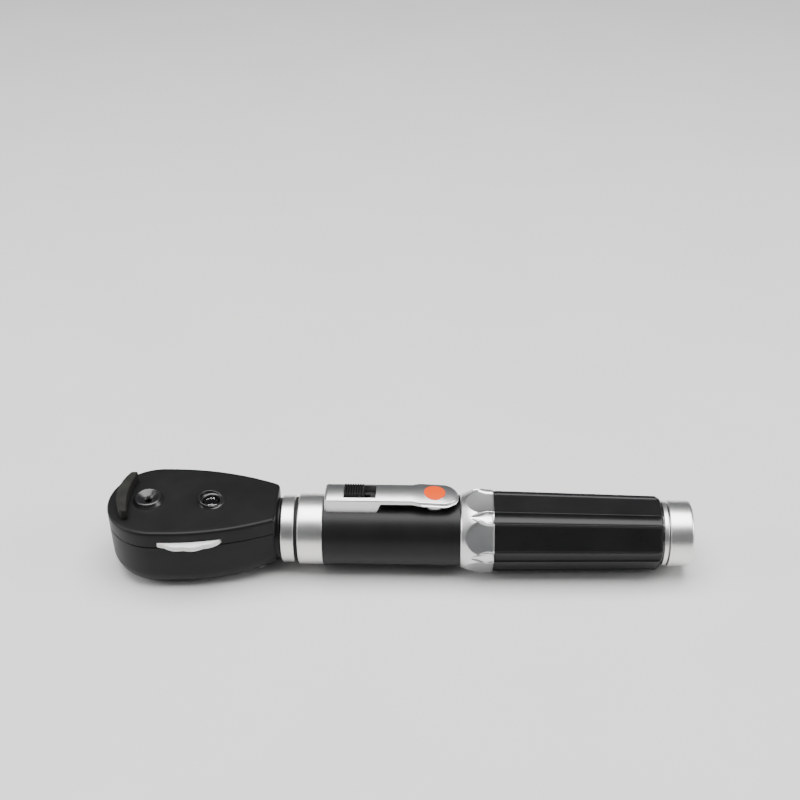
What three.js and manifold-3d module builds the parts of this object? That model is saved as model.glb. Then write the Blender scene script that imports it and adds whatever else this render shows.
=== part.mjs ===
// Pocket direct ophthalmoscope, lying on its back with the eyepiece and the clip up.
// +X runs along the handle to the tail cap, the head is at -X, and +Z points out of the head's face.
// The origin is on the surface it lies on, under the middle of its outer box. Sizes are in millimetres.
//
// Everything is laid out along the handle's axis from the front edge of the barrel (x = 0, y = 0, z = 0),
// and the finished group is then moved to its origin.
import * as THREE from "three";
import { mergeVertices } from "three/addons/utils/BufferGeometryUtils.js";
import Module from "manifold-3d";

const wasm = await Module();
wasm.setup();

// ---------------------------------------------------------------- driving dimensions

// Fits: parts that stay put, parts that slide or turn.
const SEAM = 0.05;
const RUNNING = 0.3;

// Dry cells, two in line (AA size).
const CELL_RADIUS = 7.1;
const CELL_LENGTH = 50.5;
const CELL_NUB_RADIUS = 2.75;
const CELL_NUB_LENGTH = 1.3;
const CELL_PLAY = 0.4;

// Handle.
const TUBE_WALL = 1.0;
const BARREL_RADIUS = 11.4;
const BARREL_LENGTH = 43.5;
const FERRULE_LENGTH = 8.0;
const FERRULE_STEP = 0.1;
const SPIGOT_RADIUS = 8.9;
const SPIGOT_LENGTH = 3.4;
const CELL_SETBACK = 7.6;
const COLLAR_LENGTH = 10.6;
const COLLAR_STEP = 0.35;
const COLLAR_BULGE = 1.6;
const COLLAR_FLAT_STEP = 0.8;
const GRIP_STEP = 0.4;
const GRIP_RIDGE = 0.85;
const GRIP_TAPER = 1.05;
const GRIP_CHAMFER = 0.6;
const TAIL_RING_LENGTH = 1.4;
const TAIL_RING_RADIUS = 10.3;
const TAIL_GROOVE = 0.4;
const CAP_LENGTH = 7.5;
const CAP_RADIUS = 10.5;
const CAP_FLOOR = 1.6;
const CAP_OVERLAP = 3.4;
const SPRING_RADIUS = 4.6;
const SPRING_WIRE = 0.45;
const SPRING_TURNS = 3;

// Union nut between the handle and the head.
const NUT_LENGTH = 4.2;
const NUT_STEP = 0.7;
const NUT_GAP = 1.1;
const NUT_SHOULDER = 0.8;

// Head.
const HEAD_GAP = 1.3;
const HEAD_HALF_WIDTH = 16.3;
const HEAD_FLANK_RADIUS = 85;
const HEAD_FLANK_STRAIGHT = 3.2;
const HEAD_CORNER = 1.5;
const NOSE_OFFSET = 3.3;
const FACE_HEIGHT = 11.3;
const PARTING_HEIGHT = 5.6;
const BACK_DEPTH = 12.4;
const BACK_EDGE = 7.5;
const BACK_SLOPE_START = 25;
const BACK_SLOPE_RISE = 2.6;
const SHELL_WALL = 1.6;
const FACE_BEVEL = 0.5;

// Lens disc.
const DISC_PROUD = 2.0;
const DISC_THICKNESS = 1.9;
const DISC_LIFT = 0.15;
const NECK_ROOM = 9.5;
const LENS_POSITIONS = 18;
const SCALLOP_DEPTH = 0.55;
const LENS_INSET = 4.8;
const LENS_RADIUS = 1.75;
const DIAL_RADIUS = 6.7;
const AXLE_RADIUS = 2.1;

// Light path, along the handle's axis to the mirror.
const LAMP_RADIUS = 4.6;
const LAMP_BASE_LENGTH = 7.6;
const BULB_RADIUS = 2.9;
const BULB_LENGTH = 5.2;
const OPTIC_RADIUS = 3.1;
const OPTIC_WALL = 1.1;
const MIRROR_SETBACK = 4.0;
const MIRROR_LENGTH = 6.8;
const MIRROR_WIDTH = 5.2;
const MIRROR_THICKNESS = 1.0;
const WINDOW_RADIUS = 5.6;
const APERTURE_COUNT = 5;
const WHEEL_THICKNESS = 1.4;
const WHEEL_RECESS = 0.35;
const WHEEL_RIM = 2.0;

// Eyepiece, dial window and brow rest, on the head's face.
const EYEPIECE_RADIUS = 4.1;
const EYEPIECE_FOOT = 5.0;
const EYEPIECE_HEIGHT = 1.4;
const EYEPIECE_BORE = 1.65;
const BEZEL_RADIUS = 4.05;
const BEZEL_HEIGHT = 1.7;
const BEZEL_BORE = 2.7;
const BROW_HEIGHT = 3.7;
const BROW_HALF_LENGTH = 9.8;
const BROW_THICKNESS = 3.6;
const BROW_INSET = 3.5;
const BROW_OUTER_CURVE = 18.5;
const BROW_INNER_CURVE = 35;

// Clip and switch, on top of the barrel.
const CLIP_SETBACK = 0.6;
const CLIP_WIDTH = 8.3;
const CLIP_HEIGHT = 4.6;
const CLIP_PLATE = 1.8;
const CLIP_CROWN = 0.5;
const HOUSING_LENGTH = 16.1;
const CLIP_SPLIT = 0.7;
const ARM_LENGTH = 12.0;
const PADDLE_LENGTH = 13.5;
const PADDLE_WIDTH = 10.3;
const PADDLE_DROP = 0.5;
const NUB_FROM_TIP = 7.6;
const NUB_WIDTH = 5.0;
const BADGE_RADIUS = 3.35;
const SLOT_SETBACK = 6.2;
const SLOT_STRIP = 1.65;
const BUTTON_LENGTH = 6.1;
const BUTTON_PROUD = 1.1;
const BUTTON_RIBS = 8;
const SWITCH_TRAVEL = 3.5;

const ROUND = 32;
const SMALL_ROUND = 16;

// Smaller sizes, in the order of the parts that they belong to.

// Handle: tube, sleeve, collar, grip.
const STEM_LENGTH = 2.8;
const STEM_WIDTH = 2.0;
const CLIP_FOOT_LENGTH = 2.0;
const FERRULE_CHAMFER = 0.3;
const PIN_RADIUS = 1.1;
const COLLAR_STEPS = 6;

// Cells and tail cap.
const CAP_EDGE = 0.7;
const PLATE_THICKNESS = 0.8;

// Clip and switch.
const HOUSING_WALL = 1.0;
const BADGE_DEPTH = 0.55;

// Head shells.
const SCOOP_RADIUS = 12;
const SCOOP_DEPTH = 1.2;
const SCOOP_HALF_WIDTH = 6;
const WINDOW_THICKNESS = 1.0;
const WINDOW_SUNK = 0.4;
const SCREW_RADIUS = 0.9;
const SCREW_HEAD_RADIUS = 1.7;
const SCREW_HEAD_HEIGHT = 1.1;
const BOSS_RADIUS = 2.3;
const SCREW_SPREAD = 5.4;
const AXLE_BOSS_RADIUS = 3.4;
const AXLE_TIP_RADIUS = 1.2;
const DISC_CLEARANCE = 0.4;

// Lens disc and its lenses.
const LOBE_STEPS = 4;
const PLUS_LENSES = 9;
const AXLE_HEAD_RADIUS = 3.2;
const AXLE_HEAD_HEIGHT = 0.7;
const LEAF_THICKNESS = 0.3;
const LEAF_CLEARANCE = 0.1;

// Lamp, optics and aperture wheel.
const BLOCK_LENGTH = 3.4;
const BLOCK_HALF_WIDTH = 3.0;
const AXLE_PIN_RADIUS = 0.8;
const WHEEL_TEETH = 30;

// ---------------------------------------------------------------- places worked out from them

const tubeBore = CELL_RADIUS + CELL_PLAY;
const tubeRadius = tubeBore + TUBE_WALL;
const ferruleRadius = BARREL_RADIUS - FERRULE_STEP;
const nutRadius = BARREL_RADIUS - NUT_STEP;
const gripFlat = BARREL_RADIUS + GRIP_STEP;

const xCells = CELL_SETBACK;
const xCellsEnd = xCells + 2 * CELL_LENGTH;
const xCap = xCellsEnd + 0.6;
const xCapEnd = xCap + CAP_LENGTH;
const xTailRing = xCap - TAIL_GROOVE - TAIL_RING_LENGTH;
const xCollarEnd = BARREL_LENGTH + COLLAR_LENGTH;
const xGripEnd = xTailRing - TAIL_GROOVE;
const xTubeEnd = xCap + CAP_OVERLAP;

const xNut = -FERRULE_LENGTH - NUT_GAP;
const xNutFront = xNut - NUT_LENGTH;
const xHead = xNutFront - HEAD_GAP;
const discRadius = HEAD_HALF_WIDTH + DISC_PROUD;
const xDisc = xHead - NECK_ROOM - discRadius;
const lensCircle = discRadius - LENS_INSET;
const xSight = xDisc - lensCircle;
const xDial = xDisc + DIAL_RADIUS;
const xNose = xSight + NOSE_OFFSET;
const xHeadEnd = xNose - HEAD_HALF_WIDTH;
const zDisc = PARTING_HEIGHT + DISC_LIFT;
const zDiscTop = zDisc + DISC_THICKNESS;
const zCeiling = FACE_HEIGHT - SHELL_WALL;
const zFloor = -BACK_DEPTH + SHELL_WALL + 0.4;
const zClip = BARREL_RADIUS + CLIP_HEIGHT;
const slotWidth = CLIP_WIDTH - 2 * SLOT_STRIP;

// ---------------------------------------------------------------- shaping helpers

// A closed three.js geometry as a manifold solid, with its faces turned outwards.
function solid(geometry) {
  const bare = geometry.index ? geometry.toNonIndexed() : geometry.clone();
  bare.deleteAttribute("normal");
  bare.deleteAttribute("uv");
  const merged = mergeVertices(bare, 1e-4);
  const vertProperties = new Float32Array(merged.attributes.position.array);
  const triVerts = new Uint32Array(merged.index.array);
  const made = new wasm.Manifold(new wasm.Mesh({ numProp: 3, vertProperties, triVerts }));
  if (made.volume() > 0) return made;
  for (let i = 0; i < triVerts.length; i += 3) {
    [triVerts[i + 1], triVerts[i + 2]] = [triVerts[i + 2], triVerts[i + 1]];
  }
  return new wasm.Manifold(new wasm.Mesh({ numProp: 3, vertProperties, triVerts }));
}

function join(first, ...others) {
  return others.reduce((sum, other) => sum.add(other), first);
}

function cut(body, ...tools) {
  return tools.reduce((left, tool) => left.subtract(tool), body);
}

function common(first, ...others) {
  return others.reduce((kept, other) => kept.intersect(other), first);
}

// A profile of [radius, position] points turned about an axis through (x, y, z).
function turned(profile, { axis = "x", x = 0, y = 0, z = 0, segments = ROUND } = {}) {
  const points = profile.map(([radius, along]) => new THREE.Vector2(radius, along));
  const geometry = new THREE.LatheGeometry(points, segments);
  if (axis === "x") geometry.rotateZ(-Math.PI / 2);
  if (axis === "z") geometry.rotateX(Math.PI / 2);
  geometry.translate(x, y, z);
  return solid(geometry);
}

// A round bar from a to b along its axis.
function bar(radius, a, b, place = {}) {
  return turned([[0, a], [radius, a], [radius, b], [0, b]], place);
}

// A round bar with small chamfers at both ends.
function softBar(radius, a, b, chamfer, place = {}) {
  return turned([
    [0, a],
    [radius - chamfer, a],
    [radius, a + chamfer],
    [radius, b - chamfer],
    [radius - chamfer, b],
    [0, b],
  ], place);
}

// A tube from a to b along its axis.
function tube(outer, inner, a, b, place = {}) {
  return turned([[inner, a], [outer, a], [outer, b], [inner, b], [inner, a]], place);
}

// A flat outline in x and y, from z = low to z = high.
function slab(shape, low, high, bevel = 0, segments = 8) {
  const geometry = new THREE.ExtrudeGeometry(shape, {
    depth: high - low - 2 * bevel,
    bevelEnabled: bevel > 0,
    bevelSize: bevel,
    bevelOffset: -bevel,
    bevelThickness: bevel,
    bevelSegments: 1,
    curveSegments: segments,
  });
  geometry.translate(0, 0, low + bevel);
  return solid(geometry);
}

// An outline drawn in x (along) and z (up), as wide as given and centred on y = 0.
function sideProfile(shape, width, segments = 12) {
  const geometry = new THREE.ExtrudeGeometry(shape, {
    depth: width,
    bevelEnabled: false,
    curveSegments: segments,
  });
  geometry.translate(0, 0, -width / 2);
  geometry.rotateX(Math.PI / 2);
  return solid(geometry);
}

// An outline drawn in y (across) and z (up), from x = a to x = b.
function endProfile(shape, a, b, segments = 12) {
  const geometry = new THREE.ExtrudeGeometry(shape, {
    depth: b - a,
    bevelEnabled: false,
    curveSegments: segments,
  });
  const turn = new THREE.Matrix4().set(0, 0, 1, a, 1, 0, 0, 0, 0, 1, 0, 0, 0, 0, 0, 1);
  geometry.applyMatrix4(turn);
  return solid(geometry);
}

function box(x0, x1, y0, y1, z0, z1) {
  const geometry = new THREE.BoxGeometry(x1 - x0, y1 - y0, z1 - z0);
  geometry.translate((x0 + x1) / 2, (y0 + y1) / 2, (z0 + z1) / 2);
  return solid(geometry);
}

function polygon(points) {
  return new THREE.Shape(points.map(([across, up]) => new THREE.Vector2(across, up)));
}

// ---------------------------------------------------------------- the object as a tree of meshes

const ophthalmoscope = new THREE.Group();
const handle = new THREE.Group();
const head = new THREE.Group();
ophthalmoscope.add(handle, head);

const blackPlastic = { color: 0x1d1d1f, roughness: 0.45, metalness: 0 };
const blackGloss = { color: 0x141416, roughness: 0.2, metalness: 0 };
const blackGrip = { color: 0x1a1a1b, roughness: 0.55, metalness: 0 };
const rubber = { color: 0x33332e, roughness: 0.85, metalness: 0 };
const satinMetal = { color: 0xc9c9c4, roughness: 0.32, metalness: 1 };
const chrome = { color: 0xd6d6d6, roughness: 0.15, metalness: 1 };
const brass = { color: 0xc2a24a, roughness: 0.35, metalness: 1 };
const springSteel = { color: 0x9a9a9a, roughness: 0.3, metalness: 1 };
const palePlastic = { color: 0xe2e2de, roughness: 0.5, metalness: 0 };
const glass = { color: 0xdfe8ea, roughness: 0.03, metalness: 0, transparent: true, opacity: 0.35 };
const mirrorFace = { color: 0xf2f2f2, roughness: 0.02, metalness: 1 };
const cellWrap = { color: 0x2f6b45, roughness: 0.4, metalness: 0 };
const orangeEnamel = { color: 0xf47a22, roughness: 0.3, metalness: 0 };

// One sub-part: its own mesh with its own material.
function part(parent, name, body, look) {
  const mesh = body.getMesh();
  const geometry = new THREE.BufferGeometry();
  geometry.setAttribute("position", new THREE.BufferAttribute(new Float32Array(mesh.vertProperties), 3));
  geometry.setIndex(new THREE.BufferAttribute(new Uint32Array(mesh.triVerts), 1));
  geometry.computeVertexNormals();
  const made = new THREE.Mesh(geometry, new THREE.MeshStandardMaterial(look));
  made.name = name;
  parent.add(made);
}

// ---------------------------------------------------------------- handle: tube, sleeve, collar, grip

// The cells lie in a metal tube that also carries the current back to the lamp.
part(handle, "battery_tube", tube(tubeRadius, tubeBore, SEAM, xTubeEnd), brass);

// Slot in the barrel's top under the switch, where the slider's stem reaches the contact strip.
const xButton = CLIP_SETBACK + SLOT_SETBACK;
const xStem = xButton + 1.6;
const stemEnd = xStem + STEM_LENGTH;
const xStrip = CLIP_SETBACK + 4.4;
const xStripEnd = stemEnd + SWITCH_TRAVEL + 1.2;
const xFoot = CLIP_SETBACK + 1.6;
const wellWidth = STEM_WIDTH + 4 * RUNNING;
const barrelWell = box(xStrip - SEAM, xStripEnd + SEAM, -wellWidth / 2, wellWidth / 2, 0, zClip);
const footWell = box(
  xFoot - SEAM,
  xFoot + CLIP_FOOT_LENGTH + SEAM,
  -wellWidth / 2,
  wellWidth / 2,
  0,
  zClip,
);
const barrelShell = tube(BARREL_RADIUS, tubeRadius + SEAM, SEAM, BARREL_LENGTH - SEAM);
part(handle, "barrel_sleeve", cut(barrelShell, barrelWell, footWell), blackPlastic);

// Front ferrule with the spigot that the union nut screws onto.
const ferrule = turned([
  [3.2, -FERRULE_LENGTH - SPIGOT_LENGTH],
  [SPIGOT_RADIUS, -FERRULE_LENGTH - SPIGOT_LENGTH],
  [SPIGOT_RADIUS, -FERRULE_LENGTH],
  [ferruleRadius - FERRULE_CHAMFER, -FERRULE_LENGTH],
  [ferruleRadius, -FERRULE_LENGTH + FERRULE_CHAMFER],
  [ferruleRadius, 0],
  [3.2, 0],
  [3.2, -FERRULE_LENGTH - SPIGOT_LENGTH],
]);
part(handle, "handle_ferrule", ferrule, satinMetal);

// Rubber washer in the groove between the ferrule and the nut.
const washer = tube(
  nutRadius - 0.5,
  SPIGOT_RADIUS + SEAM,
  xNut + SEAM,
  -FERRULE_LENGTH - SEAM,
);
part(handle, "neck_washer", washer, rubber);

// Insulated contact pin from the front cell's nub to the lamp.
const xPinTip = -FERRULE_LENGTH - SPIGOT_LENGTH - 0.5;
part(handle, "contact_insulator", tube(3.2 - SEAM, PIN_RADIUS + SEAM, -FERRULE_LENGTH - 2, -0.5), palePlastic);
const pin = turned([
  [0, xPinTip],
  [PIN_RADIUS, xPinTip + 0.4],
  [PIN_RADIUS, SEAM],
  [4.2, SEAM],
  [4.2, 0.9],
  [PIN_RADIUS, 0.9],
  [PIN_RADIUS, xCells - SEAM],
  [0, xCells - SEAM],
], { segments: SMALL_ROUND });
part(handle, "contact_pin", pin, brass);

// Hexagonal body, flats at the top and the bottom: apothems at its two ends, tapering between them.
function hexagon(a, apothemA, b, apothemB) {
  const corner = 1 / Math.cos(Math.PI / 6);
  const points = [[0, a], [apothemA * corner, a], [apothemB * corner, b], [0, b]];
  const profile = points.map(([radius, x]) => new THREE.Vector2(radius, x));
  const geometry = new THREE.LatheGeometry(profile, 6, Math.PI / 6);
  geometry.rotateZ(-Math.PI / 2);
  return solid(geometry);
}

// Collar: round where it meets the barrel, bulging to its crown, with six flats that run out on it.
const collarFront = BARREL_RADIUS + COLLAR_STEP;
const collarPeak = collarFront + COLLAR_BULGE;
const collarRound = [[0, BARREL_LENGTH], [collarFront - 0.4, BARREL_LENGTH]];
for (let i = 0; i <= COLLAR_STEPS; i += 1) {
  const t = i / COLLAR_STEPS;
  const swell = Math.sin(Math.min(t / 0.62, 1) * Math.PI / 2);
  const fall = t > 0.62 ? ((t - 0.62) / 0.38) ** 2 * 0.45 : 0;
  collarRound.push([
    collarFront + COLLAR_BULGE * swell - fall,
    BARREL_LENGTH + 0.4 + t * (COLLAR_LENGTH - 0.8),
  ]);
}
collarRound.push([gripFlat + 0.2, xCollarEnd], [0, xCollarEnd]);
const collarFlat = BARREL_RADIUS + COLLAR_FLAT_STEP;
const collar = cut(
  common(
    turned(collarRound),
    hexagon(BARREL_LENGTH, collarFlat, xCollarEnd, collarFlat),
  ),
  bar(tubeRadius + SEAM, BARREL_LENGTH - 1, xCollarEnd + 1),
);
part(handle, "faceted_collar", collar, chrome);

// Grip: six tapering flats, the corners between them taken back to a broad rounded ridge.
const gripFront = xCollarEnd + SEAM;
const gripCone = turned([
  [0, gripFront],
  [gripFlat + GRIP_RIDGE, gripFront],
  [gripFlat + GRIP_RIDGE - GRIP_TAPER, xGripEnd - GRIP_CHAMFER],
  [gripFlat - GRIP_TAPER - GRIP_CHAMFER, xGripEnd],
  [0, xGripEnd],
]);
const grip = cut(
  common(gripCone, hexagon(gripFront, gripFlat, xGripEnd, gripFlat - GRIP_TAPER)),
  bar(tubeRadius + SEAM, gripFront - 1, xGripEnd + 1),
);
part(handle, "grip_sleeve", grip, blackGrip);

part(
  handle,
  "tail_ring",
  tube(TAIL_RING_RADIUS, tubeRadius + SEAM, xTailRing, xTailRing + TAIL_RING_LENGTH),
  satinMetal,
);

// ---------------------------------------------------------------- cells and tail cap

function cell(a) {
  return turned([
    [0, a + SEAM],
    [CELL_NUB_RADIUS, a + SEAM],
    [CELL_NUB_RADIUS, a + CELL_NUB_LENGTH],
    [CELL_RADIUS - 0.5, a + CELL_NUB_LENGTH],
    [CELL_RADIUS, a + CELL_NUB_LENGTH + 0.5],
    [CELL_RADIUS, a + CELL_LENGTH - 0.5],
    [CELL_RADIUS - 0.5, a + CELL_LENGTH],
    [0, a + CELL_LENGTH],
  ], { segments: 24 });
}
part(handle, "battery_front", cell(xCells), cellWrap);
part(handle, "battery_rear", cell(xCells + CELL_LENGTH), cellWrap);

// The cap is a cup that screws over the tube's end.
const capWallInside = tubeRadius + RUNNING;
const xCapFloor = xCapEnd - CAP_FLOOR;
const tailCap = turned([
  [capWallInside, xCap],
  [CAP_RADIUS - 0.25, xCap],
  [CAP_RADIUS, xCap + 0.25],
  [CAP_RADIUS, xCapEnd - CAP_EDGE],
  [CAP_RADIUS - CAP_EDGE * 0.3, xCapEnd - CAP_EDGE * 0.3],
  [CAP_RADIUS - CAP_EDGE, xCapEnd],
  [0, xCapEnd],
  [0, xCapFloor],
  [capWallInside, xCapFloor],
  [capWallInside, xCap],
]);
part(handle, "tail_cap", tailCap, satinMetal);

const xPlate = xCapFloor - RUNNING - PLATE_THICKNESS;
part(
  handle,
  "tail_contact_plate",
  bar(tubeBore - RUNNING, xPlate, xPlate + PLATE_THICKNESS, { segments: 24 }),
  brass,
);

// A coil of round wire between the rear cell and the contact plate.
const springStart = xCellsEnd + SPRING_WIRE + SEAM;
const springEnd = xPlate - SPRING_WIRE - SEAM;
class Coil extends THREE.Curve {
  getPoint(t, target = new THREE.Vector3()) {
    const turn = t * SPRING_TURNS * 2 * Math.PI;
    return target.set(
      springStart + t * (springEnd - springStart),
      SPRING_RADIUS * Math.cos(turn),
      SPRING_RADIUS * Math.sin(turn),
    );
  }
}
const wire = new THREE.Shape();
wire.absarc(0, 0, SPRING_WIRE, 0, 2 * Math.PI);
const coil = new THREE.ExtrudeGeometry(wire, {
  steps: SPRING_TURNS * 14,
  curveSegments: 3,
  bevelEnabled: false,
  extrudePath: new Coil(),
});
part(handle, "tail_spring", solid(coil), springSteel);

// ---------------------------------------------------------------- clip and switch

// Crowned cross-section of the clip, of the given width and height above z = low.
function crowned(width, low, top) {
  const shape = new THREE.Shape();
  const half = width / 2;
  shape.moveTo(-half, low);
  shape.lineTo(half, low);
  shape.lineTo(half, top - CLIP_CROWN - 0.3);
  shape.quadraticCurveTo(half - 0.2, top - CLIP_CROWN * 0.5, half * 0.55, top - CLIP_CROWN * 0.16);
  shape.quadraticCurveTo(0, top + CLIP_CROWN * 0.16, -half * 0.55, top - CLIP_CROWN * 0.16);
  shape.quadraticCurveTo(-half + 0.2, top - CLIP_CROWN * 0.5, -half, top - CLIP_CROWN - 0.3);
  shape.closePath();
  return shape;
}

const xClip = CLIP_SETBACK;
const xHousingEnd = xClip + HOUSING_LENGTH;
const xSplit = xHousingEnd + CLIP_SPLIT;
const xArm = xSplit + RUNNING;
const xPaddle = xArm + ARM_LENGTH - 0.3;
const xTip = xPaddle + PADDLE_LENGTH;
const zPlate = zClip - CLIP_PLATE;

// Housing seen from the side: a rounded front corner, walls down to the barrel, an open inside.
const housingSide = new THREE.Shape();
housingSide.moveTo(xClip + 2.2, 0);
housingSide.lineTo(xClip + 2.2, BARREL_RADIUS - 1.1);
housingSide.quadraticCurveTo(xClip, BARREL_RADIUS - 0.9, xClip, BARREL_RADIUS + 1.2);
housingSide.lineTo(xClip, zClip - 1.4);
housingSide.quadraticCurveTo(xClip + 0.1, zClip, xClip + 1.6, zClip + 0.1);
housingSide.lineTo(xSplit, zClip + 0.1);
housingSide.lineTo(xSplit, zPlate);
housingSide.lineTo(xHousingEnd, zPlate);
housingSide.lineTo(xHousingEnd, 0);
const guideWidth = CLIP_WIDTH - 2 * HOUSING_WALL - 2 * SEAM;
const xGuide = xButton - 0.9;
const xGuideEnd = xHousingEnd - 0.2;
const slotEnd = xButton + BUTTON_LENGTH + SWITCH_TRAVEL + 0.25;
const clipFoot = box(
  xFoot,
  xFoot + CLIP_FOOT_LENGTH,
  -STEM_WIDTH / 2,
  STEM_WIDTH / 2,
  tubeRadius + 2 * RUNNING,
  BARREL_RADIUS + 1,
);
const clipBase = join(
  cut(
    common(
      sideProfile(housingSide, CLIP_WIDTH),
      endProfile(crowned(CLIP_WIDTH, 0, zClip), xClip - 1, xSplit + 1),
    ),
    bar(BARREL_RADIUS + SEAM, xClip - 1, xSplit + 1),
    box(xGuide - SEAM, xHousingEnd + 1, -guideWidth / 2 - SEAM, guideWidth / 2 + SEAM, 0, zPlate),
    box(xButton - 0.15, slotEnd, -slotWidth / 2, slotWidth / 2, 0, zClip + 1),
  ),
  clipFoot,
);
part(handle, "clip_base", clipBase, chrome);

// Arm and paddle seen from the side: a thin plate that drops a little, with the nub beneath.
const xNub = xTip - NUB_FROM_TIP;
const zNub = BARREL_RADIUS + 0.1;
const zTip = zClip - PADDLE_DROP;
const armSide = new THREE.Shape();
armSide.moveTo(xArm, zPlate);
armSide.lineTo(xPaddle, zPlate);
armSide.lineTo(xNub - NUB_WIDTH / 2, zPlate - 0.2);
armSide.quadraticCurveTo(xNub - NUB_WIDTH / 4, zNub, xNub, zNub);
armSide.quadraticCurveTo(xNub + NUB_WIDTH / 4, zNub, xNub + NUB_WIDTH / 2, zPlate - 0.3);
armSide.lineTo(xTip, zPlate - PADDLE_DROP * 0.6);
armSide.lineTo(xTip, zTip + 0.1);
armSide.lineTo(xPaddle, zClip + 0.1);
armSide.lineTo(xArm, zClip + 0.1);
armSide.closePath();

// Arm and paddle seen from above: straight sides, then a wider paddle with a round end.
const armHalf = CLIP_WIDTH / 2;
const paddleHalf = PADDLE_WIDTH / 2;
const armPlan = new THREE.Shape();
armPlan.moveTo(xArm, -armHalf);
armPlan.lineTo(xPaddle - 2, -armHalf);
armPlan.quadraticCurveTo(xPaddle + 1, -armHalf, xPaddle + 3, -paddleHalf);
armPlan.lineTo(xTip - paddleHalf, -paddleHalf);
armPlan.absarc(xTip - paddleHalf, 0, paddleHalf, -Math.PI / 2, Math.PI / 2);
armPlan.lineTo(xPaddle + 3, paddleHalf);
armPlan.quadraticCurveTo(xPaddle + 1, armHalf, xPaddle - 2, armHalf);
armPlan.lineTo(xArm, armHalf);
armPlan.closePath();
const zBadge = zClip - PADDLE_DROP / 2 - BADGE_DEPTH;
const nubSides = [-1, 1].map((side) => {
  const far = side * (paddleHalf + 1);
  const near = side * (armHalf - 0.15);
  return box(xArm, xTip + 1, Math.min(far, near), Math.max(far, near), 0, zPlate - 0.35);
});
const clipArm = cut(
  common(
    sideProfile(armSide, PADDLE_WIDTH + 1),
    slab(armPlan, 0, zClip + 1),
    endProfile(crowned(PADDLE_WIDTH + 0.5, 0, zClip), xArm - 1, xTip + 1),
  ),
  bar(BADGE_RADIUS + SEAM, zBadge, zClip + 1, { axis: "z", x: xNub }),
  ...nubSides,
);
part(handle, "clip_arm", clipArm, chrome);

// Plain round enamel disc set in the paddle.
part(
  handle,
  "badge_disc",
  softBar(BADGE_RADIUS, zBadge + SEAM, zBadge + BADGE_DEPTH + 0.06, 0.1, { axis: "z", x: xNub }),
  orangeEnamel,
);

// Black guide under the slot: the slider rides on it and its stem passes through.
const zGuide = BARREL_RADIUS + 0.6;
const zGuideTop = zPlate - 0.9;
const guide = cut(
  box(xGuide, xGuideEnd, -guideWidth / 2, guideWidth / 2, zGuide, zGuideTop),
  box(
    xStem - RUNNING,
    stemEnd + SWITCH_TRAVEL + RUNNING,
    -STEM_WIDTH / 2 - RUNNING,
    STEM_WIDTH / 2 + RUNNING,
    0,
    zClip,
  ),
);
part(handle, "switch_guide", guide, blackPlastic);

// Slider: a flange held under the clip's top, a ribbed button through the slot, a stem below.
const stripTop = tubeRadius + 0.4;
const buttonHalf = slotWidth / 2 - 0.15;
const buttonTop = zClip + BUTTON_PROUD;
const ribPitch = BUTTON_LENGTH / BUTTON_RIBS;
const ribs = new THREE.Shape();
ribs.moveTo(xButton, zGuideTop + SEAM);
ribs.lineTo(xButton + BUTTON_LENGTH, zGuideTop + SEAM);
for (let i = BUTTON_RIBS; i > 0; i -= 1) {
  const right = xButton + i * ribPitch;
  ribs.lineTo(right, buttonTop - 0.5);
  ribs.lineTo(right - ribPitch * 0.2, buttonTop);
  ribs.lineTo(right - ribPitch * 0.6, buttonTop);
  ribs.lineTo(right - ribPitch * 0.8, buttonTop - 0.5);
}
ribs.lineTo(xButton, buttonTop - 0.5);
ribs.closePath();
const flange = box(
  xButton,
  xButton + BUTTON_LENGTH + 0.2,
  -slotWidth / 2 - 0.3,
  slotWidth / 2 + 0.3,
  zGuideTop + SEAM,
  zPlate - 0.1,
);
const stem = box(
  xStem,
  stemEnd,
  -STEM_WIDTH / 2,
  STEM_WIDTH / 2,
  stripTop + 0.1,
  zPlate,
);
part(handle, "switch_slider", join(sideProfile(ribs, 2 * buttonHalf), flange, stem), blackPlastic);

part(
  handle,
  "switch_contact",
  box(xStrip, xStripEnd, -STEM_WIDTH / 2, STEM_WIDTH / 2, tubeRadius + 0.1, stripTop),
  brass,
);

// ---------------------------------------------------------------- head shells

// Plan of the head, drawn inwards from its outer faces by the wall: a half-round nose, flanks that
// curve in to the neck, and a straight end with rounded corners.
function headPlan(wall) {
  const half = HEAD_HALF_WIDTH - wall;
  const xFlank = xNose + HEAD_FLANK_STRAIGHT;
  const radius = HEAD_FLANK_RADIUS - wall;
  const end = xHead - wall - HEAD_CORNER;
  const sweep = Math.asin((end - xFlank) / radius);
  const endHalf = half - radius * (1 - Math.cos(sweep));
  const shape = new THREE.Shape();
  shape.moveTo(xHead - wall, -endHalf + HEAD_CORNER);
  shape.lineTo(xHead - wall, endHalf - HEAD_CORNER);
  shape.quadraticCurveTo(xHead - wall, endHalf - 0.3, end, endHalf);
  shape.absarc(xFlank, half - radius, radius, Math.PI / 2 - sweep, Math.PI / 2, false);
  shape.absarc(xNose, 0, half, Math.PI / 2, 1.5 * Math.PI, false);
  shape.absarc(xFlank, radius - half, radius, -Math.PI / 2, -Math.PI / 2 + sweep, false);
  shape.quadraticCurveTo(xHead - wall, -endHalf + 0.3, xHead - wall, -endHalf + HEAD_CORNER);
  return shape;
}

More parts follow.
